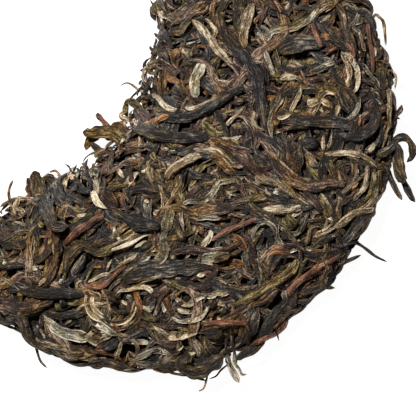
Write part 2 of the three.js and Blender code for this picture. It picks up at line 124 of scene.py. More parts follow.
BROWN = {
    "rolled": [
        (13, (258, 136), (265, 145), (272, 156), (280, 168), (290, 178), (298, 183), (314, 187),
         (327, 184), (348, 184)),
        (7, (213, 146), (224, 148), (235, 155), (245, 163), (254, 171), (268, 182), (288, 191),
         (309, 205)),
        (8, (174, 16), (184, 14), (196, 13)), (5, (190, 8), (199, 6), (208, 1)),
        (5, (172, 58), (178, 54), (184, 50)), (3, (232, 16), (241, 12), (249, 7)),
        (7, (232, 106), (238, 101), (246, 101)), (5, (208, 138), (220, 141), (232, 147), (254, 152)),
        (4, (302, 75), (312, 73), (318, 73)), (4, (274, 130), (285, 128), (300, 126), (312, 128)),
        (5, (286, 137), (289, 148), (290, 159), (297, 168), (302, 176)),
        (5, (361, 184), (356, 194), (348, 200), (340, 206)), (6, (384, 172), (383, 185), (379, 197)),
        (9, (303, 190), (310, 198), (318, 206), (325, 215)),
        (9, (53, 217), (55, 228), (56, 240), (56, 254), (54, 262), (51, 275), (47, 283), (40, 288)),
        (6, (90, 250), (97, 245), (105, 241), (120, 240)),
        (10, (6, 304), (15, 307), (30, 307), (45, 303), (54, 299)), (9, (22, 316), (27, 322), (30, 329)),
        (5, (106, 252), (105, 262), (102, 272)), (8, (108, 298), (118, 305)),
        (6, (134, 299), (134, 310), (131, 318)),
        (4.5, (171, 287), (165, 292), (160, 300), (158, 308), (155, 318)),
        (8, (150, 340), (160, 343), (171, 345), (180, 346)),
        (4, (205, 270), (213, 267), (225, 269), (237, 268)), (5, (189, 283), (194, 278), (198, 277)),
        (6, (190, 286), (200, 288), (214, 288)), (5, (230, 272), (234, 278), (238, 284), (242, 289)),
        (7, (249, 308), (262, 301), (272, 293), (280, 288)), (4, (286, 254), (284, 262), (280, 268)),
        (4, (314, 281), (308, 286), (302, 292), (300, 296)),
        (3, (193, 362), (203, 361), (213, 359), (222, 356)), (7, (116, 168), (126, 162), (140, 161)),
        (6, (101, 170), (107, 174)), (5, (174, 18), (186, 19), (205, 12), (209, 3)),
        (3, (133, 368), (138, 369), (141, 366)),
    ],
    "flat": [
        (7, (222, 169), (232, 172), (240, 173)),
        (9, (185, 215), (195, 211), (210, 209), (225, 209), (237, 207)),
        (14, (104, 191), (110, 200), (118, 209)), (12, (133, 116), (145, 114), (158, 112)),
        (8, (108, 255), (104, 262), (100, 270)),
    ],
}
TAN = {
    "flat": [
        (9, (307, 105), (313, 102), (320, 99)), (6, (318, 97), (326, 103), (334, 110)),
        (8, (252, 0), (249, 12), (246, 26), (244, 38), (246, 50)),
    ],
    "rolled": [
        (4, (107, 250), (116, 245), (125, 240), (135, 235), (146, 232)),
        (4, (112, 253), (122, 248), (133, 243), (143, 237)),
        (3, (136, 283), (150, 279), (165, 277), (184, 279)),
        (7, (192, 20), (201, 28), (209, 37), (216, 47), (224, 57), (234, 66)),
        (4, (199, 17), (207, 20), (214, 28), (217, 35), (213, 38), (218, 43)),
        (4, (213, 82), (224, 82), (236, 84)), (4, (182, 105), (190, 108), (200, 106), (214, 99)),
        (4, (223, 126), (232, 118), (240, 112), (246, 103)), (3, (241, 114), (246, 120), (250, 127)),
        (5, (192, 149), (206, 151), (218, 151), (226, 158), (234, 165), (244, 167)),
        (9, (166, 181), (172, 172), (182, 164), (194, 158), (206, 155)),
        (2.5, (292, 1), (288, 6), (285, 12)), (3, (300, 27), (290, 30), (280, 34), (272, 37)),
        (6, (286, 61), (294, 60), (303, 65), (308, 65)), (8, (278, 78), (289, 76), (301, 79)),
        (3, (316, 21), (317, 15), (324, 10), (335, 5)), (2.5, (318, 27), (326, 18), (337, 13)),
        (3, (343, 13), (345, 22), (344, 30)), (3, (358, 26), (361, 35), (364, 46), (361, 51)),
        (4.5, (341, 51), (345, 61), (350, 72), (348, 85), (347, 91)), (3, (358, 4), (365, 8), (372, 14)),
        (3, (375, 44), (376, 54), (374, 60)),
        (4, (252, 109), (254, 113), (253, 119), (255, 125), (261, 130), (266, 128)),
        (5, (313, 151), (325, 153), (345, 153), (355, 154), (363, 157), (372, 164), (380, 170)),
        (5, (363, 159), (367, 168), (367, 180), (366, 187), (360, 194), (352, 202)),
        (3.5, (312, 153), (311, 162), (312, 171)), (5, (339, 104), (338, 111), (336, 119)),
        (4, (387, 84), (388, 96), (388, 110), (389, 125), (386, 133), (384, 140)),
        (4, (391, 98), (394, 106), (395, 116), (394, 125), (393, 140)),
        (5, (390, 133), (389, 145), (387, 158), (385, 168)), (3, (386, 130), (384, 142), (384, 151)),
        (5, (377, 137), (374, 145), (371, 151), (365, 151)),
        (6, (378, 170), (377, 182), (375, 192), (372, 200), (366, 207), (355, 212)),
        (6, (375, 208), (365, 210), (356, 212), (348, 217), (340, 224), (332, 229)),
        (3, (356, 166), (357, 174), (352, 183)),
        (3.5, (178, 174), (181, 176), (181, 183), (178, 188), (173, 192), (172, 199)),
        (3, (209, 175), (214, 171), (218, 167)),
        (5.5, (254, 175), (262, 180), (272, 182), (280, 185), (288, 191), (297, 197), (305, 202),
         (310, 206)),
        (7, (262, 209), (272, 210), (285, 210), (297, 208), (305, 206)),
        (4, (319, 192), (324, 198), (328, 205), (333, 212)), (4, (262, 215), (267, 218), (271, 220)),
        (3, (312, 233), (320, 232), (328, 228), (334, 222)),
        (4, (312, 237), (322, 234), (330, 230), (337, 226)),
        (3.5, (320, 227), (311, 227), (309, 233), (308, 241), (303, 246)),
        (3, (162, 183), (161, 190), (163, 198), (162, 206), (161, 214)), (6, (134, 209), (140, 213)),
        (8, (152, 210), (158, 214)), (3, (111, 258), (108, 265), (105, 272)),
        (3, (112, 270), (120, 264), (130, 258), (137, 253)),
        (3.5, (84, 283), (92, 279), (100, 275), (110, 273)),
        (5, (122, 341), (119, 349), (116, 356), (116, 363)),
        (3, (186, 341), (193, 345), (198, 350), (199, 356), (196, 359)),
        (3.5, (218, 356), (228, 350), (238, 344), (246, 340)),
        (3, (282, 299), (281, 304), (286, 307), (291, 309), (296, 312)),
        (4, (258, 265), (261, 270), (265, 275)), (2.5, (104, 364), (112, 368), (122, 369), (132, 368)),
        (3, (134, 119), (138, 126), (141, 129)), (3, (142, 129), (147, 124), (152, 121)),
        (4, (160, 146), (166, 149), (171, 150)), (2, (160, 57), (166, 63), (171, 66)),
        (4, (116, 168), (120, 173), (124, 179)), (2, (200, 252), (198, 258), (195, 262)),
    ],
}
SILVER = {
    "flat": [
        (11, (203, 61), (199, 72), (195, 83), (195, 99)),
        (11, (172, 207), (169, 216), (166, 225), (165, 233)),
        (8, (166, 228), (163, 238), (165, 248), (164, 256), (160, 260), (155, 261), (149, 261)),
        (13, (199, 258), (215, 254), (231, 251)),
        (10, (36, 316), (45, 321), (56, 327), (65, 332), (78, 336), (90, 339)),
    ],
    "ribbon": [
        (7.5, (319, 7), (311, 14), (303, 22), (291, 28), (278, 30), (270, 33), (267, 41)),
        (4, (191, 38), (198, 35), (206, 36)), (2.5, (191, 41), (198, 40), (207, 39)),
        (2, (175, 45), (184, 44), (191, 40)), (4, (181, 48), (187, 53), (193, 61)),
        (3, (220, 12), (225, 16)), (3, (212, 72), (217, 79), (222, 75)),
        (4, (220, 86), (227, 89), (233, 93)), (3.5, (220, 138), (232, 139), (241, 133)),
        (3, (199, 163), (206, 161), (214, 158)), (3, (243, 160), (246, 155), (252, 158), (250, 162)),
        (4, (166, 147), (172, 153), (180, 152)), (5, (317, 66), (327, 64), (337, 61)),
        (4, (263, 42), (267, 55), (270, 66), (275, 76)), (3, (274, 42), (276, 55), (280, 65)),
        (2.5, (253, 30), (262, 34)), (3, (256, 10), (262, 12), (265, 16)), (5, (252, 63), (262, 62)),
        (3.5, (336, 12), (344, 5), (353, 5), (359, 11), (356, 20), (348, 28)),
        (3, (352, 26), (359, 22), (366, 19)), (2.5, (365, 47), (367, 54), (369, 60)),
        (3, (361, 61), (367, 70), (374, 80), (380, 90)),
        (4, (281, 92), (281, 101), (277, 106), (273, 112), (270, 119), (269, 126), (271, 133),
         (272, 138)),
        (2, (371, 85), (376, 92), (381, 97), (384, 103)), (2, (373, 98), (379, 103), (384, 106)),
        (4, (360, 94), (363, 100), (366, 104)), (4, (357, 95), (358, 108), (352, 116), (345, 120)),
        (4, (321, 160), (318, 167), (315, 171)), (8, (328, 160), (332, 170)),
        (5, (244, 176), (237, 178), (228, 181), (219, 183), (217, 186), (212, 194), (207, 198),
         (199, 201), (191, 201), (185, 202), (181, 207)),
        (3.5, (182, 207), (181, 215), (182, 222), (184, 230)), (2.5, (228, 188), (235, 187), (240, 185)),
        (5, (192, 218), (203, 217), (215, 217), (227, 218)), (1.5, (253, 214), (247, 218), (240, 222)),
        (3, (224, 239), (231, 244), (236, 247)), (4, (252, 180), (257, 183), (262, 186)),
        (2.5, (265, 187), (267, 192), (272, 196)), (6, (274, 191), (280, 193)),
        (4, (278, 217), (277, 226), (277, 236), (280, 241), (286, 248)),
        (4, (305, 215), (298, 232), (291, 234), (284, 230), (279, 223)),
        (4, (258, 226), (265, 222), (272, 225), (276, 232), (274, 240)),
        (3, (265, 222), (258, 226), (253, 233), (252, 240)), (2, (265, 227), (259, 232), (257, 240)),
        (3, (305, 249), (313, 250)), (3, (17, 207), (22, 210), (24, 214)),
        (3, (30, 225), (32, 219), (36, 213)), (2.5, (76, 168), (79, 178), (81, 183)),
        (3.5, (58, 206), (70, 206), (80, 208), (88, 211)), (3, (57, 209), (60, 217), (63, 225)),
        (4.5, (91, 172), (95, 178), (97, 185), (99, 195)), (2.5, (147, 167), (149, 173), (153, 179)),
        (3, (143, 203), (149, 213)), (3.5, (115, 223), (115, 232), (120, 239), (124, 243)),
        (2, (113, 232), (115, 240)), (2.5, (120, 226), (122, 232), (128, 227)),
        (4, (150, 252), (160, 247), (165, 243)), (2.5, (1, 276), (10, 282), (17, 288), (24, 292)),
        (2.5, (41, 251), (37, 257), (35, 260)),
        (4.5, (123, 274), (130, 268), (137, 262), (143, 260), (150, 254), (157, 249)),
        (3.5, (106, 292), (112, 286), (120, 280), (122, 277)),
        (6, (94, 320), (101, 324), (110, 330), (119, 336)), (2, (92, 331), (103, 331), (109, 333)),
        (6, (84, 337), (90, 341), (100, 345)), (4, (58, 350), (74, 355), (90, 358), (106, 360)),
        (4, (122, 352), (126, 356), (132, 358), (140, 357), (147, 353), (155, 350)),
        (2.5, (124, 359), (131, 361), (138, 360), (145, 358), (152, 354)),
        (6, (146, 357), (155, 352), (170, 353)),
        (4.5, (171, 316), (177, 321), (185, 322), (194, 320), (201, 317), (207, 311), (210, 303)),
        (3, (228, 296), (230, 305), (222, 310), (217, 313)),
        (3, (190, 338), (198, 343), (203, 352), (204, 358)),
        (2, (175, 360), (181, 363), (188, 361), (196, 357)),
        (3, (318, 253), (322, 255), (324, 262), (327, 268), (325, 273), (320, 278)),
        (5, (284, 290), (284, 296), (287, 302)), (2, (322, 288), (325, 280), (330, 272)),
        (2, (327, 289), (330, 283)), (4, (158, 70), (160, 79)),
        (3, (124, 120), (121, 130), (124, 138), (121, 147)), (2.5, (130, 129), (126, 136), (122, 148)),
        (5, (127, 151), (133, 155), (137, 160)), (3, (147, 160), (149, 166), (150, 171)),
        (4, (148, 63), (146, 72), (147, 84)), (5, (125, 294), (131, 299)),
    ],
}
CREAM = {
    "ribbon": [
        (4.5, (344, 52), (353, 62), (358, 71), (358, 83), (356, 90), (350, 93)),
        (4, (302, 83), (300, 92), (296, 100), (290, 113)),
        (4, (277, 116), (280, 119), (287, 117), (291, 113)), (2.5, (274, 132), (281, 130)),
        (4, (322, 94), (328, 92), (336, 96)), (3, (323, 132), (323, 142), (323, 150)),
        (3, (332, 132), (331, 141), (326, 149)), (3, (320, 107), (323, 112)),
        (2.5, (361, 110), (360, 115), (355, 119), (352, 122), (348, 123)),
        (2.5, (224, 190), (228, 193), (235, 194), (243, 194)),
        (6.5, (208, 222), (210, 228), (209, 236), (204, 242), (199, 248)),
        (4, (184, 259), (188, 255), (192, 250), (196, 245)),
        (4, (289, 218), (294, 215), (300, 211), (305, 208)), (3, (281, 228), (286, 231)),
        (3, (298, 239), (299, 242)), (2.5, (325, 237), (331, 236), (337, 236)),
        (3, (289, 253), (295, 250), (300, 250)), (3, (326, 218), (331, 219), (332, 224)),
        (3, (10, 217), (17, 220), (24, 224), (30, 222)), (4, (75, 214), (81, 216), (88, 213)),
        (5, (85, 192), (89, 191), (95, 194), (97, 199), (98, 204), (103, 207), (109, 209)),
        (5, (137, 169), (134, 172), (131, 178), (128, 183), (123, 187), (119, 189)),
        (2, (114, 182), (116, 188), (119, 190)), (4, (144, 169), (145, 175)), (4, (145, 199), (148, 203)),
        (4.5, (110, 251), (118, 248), (127, 244), (136, 238), (144, 233), (150, 234)),
        (3.5, (132, 247), (140, 244), (148, 241)), (4, (12, 258), (18, 260), (24, 262)),
        (4, (0, 261), (7, 263)), (4, (31, 268), (37, 268), (42, 265)), (3.5, (48, 277), (38, 287)),
        (2, (60, 285), (60, 280), (63, 280), (64, 285)), (4, (84, 330), (90, 334), (93, 337)),
        (5, (115, 256), (119, 262)),
        (4, (114, 295), (119, 291), (128, 290), (137, 288), (145, 287), (151, 291), (155, 297)),
        (4.5, (87, 291), (85, 298), (86, 305), (91, 312), (98, 318), (104, 320), (118, 322), (128, 319),
         (134, 312), (135, 299)),
        (4, (92, 295), (93, 303), (98, 311), (108, 319)), (2.5, (117, 300), (125, 304), (129, 305)),
        (6, (96, 292), (99, 298), (100, 302)), (3.5, (161, 300), (163, 308), (167, 315)),
        (5, (140, 306), (152, 311)), (2.5, (96, 340), (103, 336), (110, 333)),
        (3, (98, 341), (106, 338), (113, 336)), (5, (127, 344), (135, 342), (143, 343), (150, 345)),
        (5, (172, 297), (181, 302), (187, 305), (193, 302), (202, 295), (211, 296), (218, 292),
         (224, 294), (235, 289)),
        (2.5, (178, 288), (183, 288), (188, 293)), (4, (176, 307), (180, 311), (186, 312), (195, 312)),
        (8, (166, 336), (178, 336), (190, 334), (200, 330)), (4, (217, 318), (223, 317)),
        (3, (170, 258), (178, 257)), (5, (195, 275), (200, 275), (205, 273)),
        (2, (285, 269), (289, 266), (292, 262)), (3.5, (177, 357), (184, 355), (192, 355), (197, 354)),
        (5, (177, 349), (182, 345)), (3, (198, 262), (206, 262), (213, 265)),
        (5, (151, 96), (157, 97), (163, 104), (169, 108), (185, 110)),
    ],
}
OLIVE = {
    "rolled": [
        (8, (233, 308), (247, 299), (258, 294), (266, 289), (275, 283), (283, 278), (290, 272),
         (296, 263), (297, 257)),
        (4, (170, 27), (177, 22), (187, 22)), (5, (170, 32), (179, 32), (187, 27), (193, 21)),
        (4, (236, 24), (240, 30), (240, 35)), (5, (222, 113), (230, 111), (240, 108)),
        (5, (325, 83), (325, 90)), (4, (375, 72), (383, 70), (391, 74)), (4, (366, 110), (364, 116)),
        (8, (274, 119), (279, 124)), (2, (296, 142), (294, 149), (291, 153)),
        (5, (374, 170), (373, 182), (370, 193), (364, 201)), (6, (194, 172), (197, 168), (203, 166)),
        (5, (195, 187), (203, 184), (212, 183), (217, 181)),
        (5, (281, 180), (288, 186), (294, 193), (297, 197)), (3, (270, 187), (277, 186), (284, 188)),
        (3.5, (41, 221), (36, 226), (32, 233), (29, 243), (30, 252), (32, 258)),
        (5, (38, 219), (42, 227)), (2.5, (33, 258), (35, 245), (36, 240)),
        (7, (83, 219), (90, 216), (95, 212)), (4, (46, 254), (45, 268), (42, 280)),
        (3, (37, 262), (43, 260)), (6, (53, 303), (57, 309), (60, 312)),
        (2.5, (84, 281), (88, 272), (93, 266)),
        (3, (88, 280), (80, 281), (76, 284), (77, 289), (82, 290), (88, 286)),
        (4, (139, 315), (148, 319), (155, 321)), (4, (84, 352), (90, 355), (94, 354)),
        (2.5, (174, 327), (180, 328), (190, 330), (199, 329)), (3.5, (308, 258), (304, 264), (301, 270)),
        (3, (198, 342), (201, 346), (203, 349)), (3, (20, 313), (32, 312), (44, 307)),
        (7, (127, 100), (125, 108), (127, 118)), (6, (151, 152), (155, 158), (157, 163)),
        (4, (157, 0), (161, 7), (165, 12)),
    ],
    "flat": [
        (9, (214, 124), (219, 130), (228, 128)), (8, (201, 121), (208, 128), (217, 136)),
        (9, (229, 127), (236, 122), (243, 127)), (13, (283, 215), (289, 222), (294, 229)),
        (8, (210, 262), (231, 254)),
    ],
}
AMBER = {
    "rolled": [
        (4, (205, 156), (216, 156), (224, 162), (230, 170)), (6, (165, 76), (178, 81)),
        (6, (147, 129), (152, 122), (160, 119), (170, 115)), (3.5, (300, 112), (310, 115), (317, 116)),
        (3, (361, 110), (360, 118), (359, 128)), (3, (383, 154), (380, 159)), (3, (376, 200), (375, 207)),
        (4, (360, 180), (354, 187), (348, 192)), (2.5, (222, 205), (224, 200), (225, 196)),
        (5, (258, 13), (255, 18), (254, 23)), (4, (191, 46), (199, 45), (210, 48)),
        (4, (268, 297), (274, 301)), (4, (271, 327), (276, 324), (280, 321)),
        (2.5, (320, 260), (317, 266), (311, 269)), (3, (157, 361), (165, 360)),
        (4, (133, 180), (134, 187)), (3.5, (40, 277), (36, 282), (31, 285)), (4, (17, 293), (23, 297)),
        (2, (91, 266), (96, 267), (101, 266)), (4, (72, 167), (67, 179), (63, 188), (62, 199)),
        (3, (55, 169), (58, 174), (63, 181)), (4, (210, 318), (213, 312)), (3, (50, 220), (50, 235)),
        (4, (296, 295), (290, 292), (290, 298)),
    ],
    "flat": [
        (5, (203, 88), (209, 95)), (7, (265, 99), (277, 97)),
        (9, (229, 235), (236, 238), (243, 246), (246, 252)), (6, (200, 223), (200, 235)),
        (6, (213, 225), (225, 224)), (6, (321, 34), (331, 41)), (8, (226, 262), (244, 265)),
        (6, (112, 325), (122, 331)), (7, (111, 128), (126, 121)),
    ],
}
STEM = {
    "stem": [
        (4.5, (258, 219), (254, 220), (245, 224), (235, 228), (225, 232), (215, 238), (210, 240)),
        (5, (337, 257), (328, 262), (320, 267), (310, 273), (300, 281), (291, 289), (286, 293)),
        (4.5, (203, 325), (213, 323), (225, 323), (240, 322), (248, 324)),
        (4, (83, 285), (90, 287), (98, 288), (104, 285), (110, 280), (117, 272), (125, 266)),
        (6, (105, 216), (97, 219), (88, 226), (80, 230), (72, 238), (64, 244)),
        (4, (312, 23), (315, 33), (319, 43), (322, 49)), (4, (325, 54), (330, 52), (337, 49)),
        (3.5, (369, 22), (370, 38), (372, 54), (373, 75)), (2, (273, 0), (278, 7), (282, 14)),
        (4, (241, 313), (245, 320), (249, 330)),
    ],
}

# Loose ends that stand out past the rim and the broken side, rooted at their first point
STRAYS = {
    "charcoal": [
        ("flat", 17, (54, 226), (50, 217), (46, 206), (41, 194), (37, 182), (34, 171)),
        ("rolled", 7.5, (390, 148), (395, 141), (402, 137.5), (408, 140), (412, 147), (412, 156),
         (407, 162)),
        ("rolled", 13, (388, 150), (394, 146), (397, 152), (398, 160), (399, 168), (401, 176),
         (404, 183)),
        ("rolled", 8, (396, 156), (399, 167), (402, 178), (407, 189), (411, 197), (415, 202)),
        ("rolled", 6.5, (384, 168), (389, 176), (393, 184), (397, 192), (402, 200)),
        ("rolled", 3.6, (340, 246), (349, 243), (357, 243), (366, 249), (375, 256), (387, 262)),
        ("rolled", 4, (340, 264), (347, 261), (354, 258), (361, 255)),
        ("rolled", 5, (322, 285), (328, 287), (335, 288)),
        ("flat", 18, (183, 364), (192, 369), (203, 368), (214, 362), (223, 356)),
        ("rolled", 3.5, (226, 346), (228, 354), (230, 362), (231, 369)),
        ("rolled", 3, (232, 342), (234, 350), (236, 357), (237, 364)),
        ("rolled", 2, (226, 361), (228, 364), (221, 370), (216, 376), (209, 379)),
        ("flat", 9, (262, 340), (256, 347), (250, 352), (243, 355), (236, 360)),
        ("rolled", 2, (275, 327), (277, 333), (279, 341)),
        ("rolled", 4.5, (92, 144), (97, 150), (102, 152), (109, 150)),
        ("rolled", 2.5, (100, 152), (89, 155), (84, 160), (83, 163)),
        ("flat", 15, (62, 201), (55, 188), (50, 181), (43, 178)),
        ("rolled", 2.5, (72, 172), (69, 167), (65, 164)),
        ("rolled", 4, (394, 126), (396, 118), (400, 119)),
    ],
    "brown": [
        ("flat", 9, (29, 190), (31, 184), (27, 178)),
        ("rolled", 3, (34, 340), (36, 347), (40, 360), (47, 368)),
        ("rolled", 3, (147, 86), (140, 90), (132, 97), (129, 103)),
        ("rolled", 2.5, (164, 24), (163, 19), (156, 9), (150, 0)),
        ("flat", 10, (125, 131), (118, 126), (110, 127)),
        ("rolled", 5, (122, 150), (116, 140), (108, 126)),
        ("rolled", 3.5, (160, 364), (173, 373), (188, 375), (201, 379), (206, 381)),
        ("flat", 6, (394, 117), (400, 111), (402, 105)), ("flat", 15, (152, 130), (145, 119), (137, 109)),
        ("rolled", 3.5, (12, 206), (10, 200), (9, 193), (10, 187), (13, 180)),
    ],
    "tan": [
        ("rolled", 2.5, (147, 94), (139, 90), (132, 85), (126, 83), (120, 86)),
        ("rolled", 5, (35, 200), (21, 199), (8, 202), (0, 207)),
        ("rolled", 2.8, (388, 71), (392, 72), (396, 76), (395, 89)),
        ("rolled", 3.2, (375, 15), (379, 17), (383, 21), (385, 31), (386, 46)),
        ("rolled", 5, (130, 120), (122, 118), (121, 114), (127, 112)),
        ("ribbon", 4.5, (62, 200), (64, 190), (66, 181), (72, 171)),
    ],
    "stem": [
        ("stem", 6, (116, 138), (109, 128), (97, 114)),
        ("stem", 2, (207, 377), (206, 381), (205, 385), (203, 389), (199, 391)),
        ("stem", 2, (185, 362), (190, 370), (195, 377)),
        ("stem", 3, (64, 192), (62, 180), (56, 171), (50, 172)),
    ],
    "silver": [
        ("flat", 6.5, (229, 361), (231, 368), (235, 375), (239, 383)),
        ("ribbon", 3.5, (234, 362), (239, 369), (242, 375), (247, 374)),
        ("ribbon", 5, (120, 150), (124, 140), (122, 131), (125, 120)),
        ("ribbon", 2.5, (48, 183), (43, 178), (50, 172)),
    ],
    "cream": [
        ("ribbon", 3, (122, 148), (125, 137), (132, 129)), ("flat", 5, (70, 176), (71, 171), (73, 167)),
    ],
    "olive": [
        ("flat", 13, (115, 135), (110, 132), (100, 132), (91, 133), (83, 132)),
        ("flat", 10, (103, 133), (95, 136), (89, 142), (86, 150)),
        ("flat", 8, (138, 107), (130, 101), (124, 104)),
    ],
}
PALETTE = {
    "charcoal": CHARCOAL, "brown": BROWN, "tan": TAN, "silver": SILVER, "cream": CREAM, "olive": OLIVE,
    "amber": AMBER, "stem": STEM,
}


# Lines and directions

def path_length(points):
    """How long a line through points is."""
    return np.linalg.norm(np.diff(points, axis=0), axis=1).sum()


def distance_along(points):
    """How far each point of a line lies from its start, along the line."""
    return np.concatenate([[0], np.cumsum(np.linalg.norm(np.diff(points, axis=0), axis=1))])


def unit(vectors, spare=0.0):
    """Vectors made one long. A spare length keeps a vector of no length finite."""
    return vectors / (np.linalg.norm(vectors, axis=-1, keepdims=True) + spare)


def way_round(place):
    """The direction that runs round the cake at a place."""
    return math.atan2(place[1], place[0]) + np.pi / 2


# The cake's shape

def dome_height(radius):
    """Height of the pressed top at a distance from the middle: a flat power curve with a steep rim."""
    inward = 1 - np.clip(radius / CAKE_RADIUS, 0, 1) ** DOME_POWER
    return RIM_HEIGHT + (CROWN_HEIGHT - RIM_HEIGHT) * inward ** SHOULDER_POWER


def inside_break(x, y):
    """How far inside the broken edge a point lies: two lines rounded into one corner, less three
    sine waves."""
    beyond = []
    for line in (LOWER_BREAK, RIGHT_BREAK):
        turn = line["open_side"]
        beyond.append((x - line["at"][0]) * math.cos(turn) + (y - line["at"][1]) * math.sin(turn))
    a, b = beyond
    corner = BREAK_CORNER_RADIUS
    rounded = corner - np.hypot(corner - a, corner - b)
    beyond = np.where((a < corner) & (b < corner), rounded, np.minimum(a, b))
    wander = sum(
        share * np.sin(2 * np.pi * (x - y) / length + shift) for share, length, shift in BREAK_WAVES)
    return BREAK_RAGGEDNESS * wander - beyond


def break_face(x, y):
    """Height of the broken face: a slope that rises inwards from the break's foot."""
    return np.maximum(BREAK_FOOT_HEIGHT + BREAK_SLOPE * inside_break(x, y), BREAK_FOOT_HEIGHT)


def surface_height(x, y):
    """Height of the upper side: the dome, brought down along the broken face."""
    return np.minimum(dome_height(np.hypot(x, y)), break_face(x, y))


def skin_profile():
    """Radius and height of the whole cake's skin against the distance along it, from the middle of the
    top over the rim and down the side, where the radius draws in by a high power near the table."""
    top_radius = CAKE_RADIUS * np.sin(np.linspace(0, np.pi / 2, 400))
    side_height = np.linspace(RIM_HEIGHT, FOOT_EDGE_HEIGHT, 60)[1:]
    side_radius = CAKE_RADIUS * (1 - (1 - side_height / RIM_HEIGHT) ** 2) ** (1 / FOOT_POWER)
    radius = np.concatenate([top_radius, side_radius])
    height = np.concatenate([dome_height(top_radius), side_height])
    along = np.concatenate([[0], np.cumsum(np.hypot(np.diff(radius), np.diff(height)))])
    return along, radius, height


SKIN_ALONG, SKIN_RADIUS, SKIN_HEIGHT = skin_profile()
SKIN_REACH = SKIN_ALONG[-1]


def skin_point(flat):
    """Points of the skin for points of the flattened skin, and the way the skin faces there: across its
    slope, turning into the broken face's own way within 3 mm of height."""
    distance = np.hypot(flat[..., 0], flat[..., 1])
    turn = np.arctan2(flat[..., 1], flat[..., 0])
    radius = np.interp(distance, SKIN_ALONG, SKIN_RADIUS)
    height = np.interp(distance, SKIN_ALONG, SKIN_HEIGHT)
    reach = 3.0
    ahead, behind = distance + reach, distance - reach
    rise = np.interp(ahead, SKIN_ALONG, SKIN_HEIGHT) - np.interp(behind, SKIN_ALONG, SKIN_HEIGHT)
    run = np.interp(ahead, SKIN_ALONG, SKIN_RADIUS) - np.interp(behind, SKIN_ALONG, SKIN_RADIUS)
    x, y = radius * np.cos(turn), radius * np.sin(turn)
    outward = np.stack([-rise * np.cos(turn), -rise * np.sin(turn), np.maximum(run, 0.05)], -1)
    face = break_face(x, y)
    slope_x = (break_face(x + reach, y) - break_face(x - reach, y)) / (2 * reach)
    slope_y = (break_face(x, y + reach) - break_face(x, y - reach)) / (2 * reach)
    face_outward = np.stack([-slope_x, -slope_y, np.ones_like(x)], -1)
    share = np.clip((height - face) / 3 + 0.5, 0, 1)[..., None]
    normal = unit(unit(outward) * (1 - share) + unit(face_outward) * share)
    return np.stack([x, y, np.minimum(height, face)], -1), normal


# The reference view

def view_directions():
    """Unit vectors of the reference view: towards the eye, up and right."""
    level = math.cos(VIEW_ELEVATION)
    right, back = math.sin(VIEW_AZIMUTH) * level, -math.cos(VIEW_AZIMUTH) * level
    to_eye = np.array([right, back, math.sin(VIEW_ELEVATION)])
    # The picture is turned in its own plane: its up is the cake's +Y as far as the eye sees it
    up = np.array([0.0, 1.0, 0.0]) - to_eye[1] * to_eye
    up /= np.linalg.norm(up)
    return to_eye, up, np.cross(up, to_eye)


TO_EYE, VIEW_UP, VIEW_RIGHT = view_directions()
EYE = VIEW_TARGET + VIEW_DISTANCE * TO_EYE


def view_rays(pixels):
    """Ray directions, scaled to fall by one unit of height, through points of the picture."""
    across = pixels[:, 0:1] - PICTURE_MIDDLE
    down = pixels[:, 1:2] - PICTURE_MIDDLE
    rays = -VIEW_FOCAL * TO_EYE + across * VIEW_RIGHT - down * VIEW_UP
    return rays / -rays[:, 2:3]


def picture_to_skin(pixels):
    """Where rays through points of the picture first meet the cake, as points of the flattened skin."""
    rays = view_rays(pixels)
    heights = np.linspace(CROWN_HEIGHT + 1, FOOT_EDGE_HEIGHT, 500)
    points = EYE + rays[:, None, :] * (EYE[2] - heights)[None, :, None]
    x, y = points[..., 0], points[..., 1]
    distance = np.hypot(x, y)
    side_radius = np.interp(heights, SKIN_HEIGHT[::-1], SKIN_RADIUS[::-1])
    solid = (heights < surface_height(x, y)) & (distance < np.maximum(side_radius, 1))
    first = np.where(solid.any(1), solid.argmax(1), np.abs(heights - RIM_HEIGHT).argmin())
    hit = points[np.arange(len(pixels)), first]
    radius = np.hypot(hit[:, 0], hit[:, 1])
    on_face = hit[:, 2] > break_face(hit[:, 0], hit[:, 1]) - 0.5
    height = np.where(on_face, dome_height(radius), hit[:, 2])
    gap = (radius[:, None] - SKIN_RADIUS) ** 2 + (height[:, None] - SKIN_HEIGHT) ** 2
    along = SKIN_ALONG[gap.argmin(1)]
    return hit[:, :2] / np.maximum(radius, 1e-6)[:, None] * along[:, None]


def picture_to_level(pixels, rise):
    """Points over the table for loose ends: a rise over the cake's upper side, or beyond it over the
    height of the rim."""
    rays = view_rays(pixels)
    height = np.full(len(pixels), RIM_HEIGHT)
    for _ in range(14):
        points = EYE + rays * (EYE[2] - height)[:, None]
        height = (height + np.maximum(surface_height(points[:, 0], points[:, 1]), BREAK_FOOT_HEIGHT)) / 2
    return EYE + rays * (EYE[2] - height - rise)[:, None]


# Leaves

# By form, how narrow a leaf's ends are beside its middle and how thick it is for its width. A
# traced leaf wavers less than the others. By tone, how much painted shade darkens its creases and
# painted light brightens its ridges.
TIP_SHARE = {"stem": 0.85, "flat": 0.35, "rolled": 0.16, "ribbon": 0.2}
FLATNESS = {"stem": (0.7, 0.9), "flat": (0.1, 0.16), "rolled": (0.38, 0.6), "ribbon": (0.3, 0.5)}
TRACED_UNREST = 0.45
CREASE_PAINTED_SHADE = {
    "charcoal": 0.9, "brown": 0.95, "tan": 0.8, "silver": 0.6, "cream": 0.5, "olive": 0.95, "amber": 0.7,
    "stem": 0.6,
}


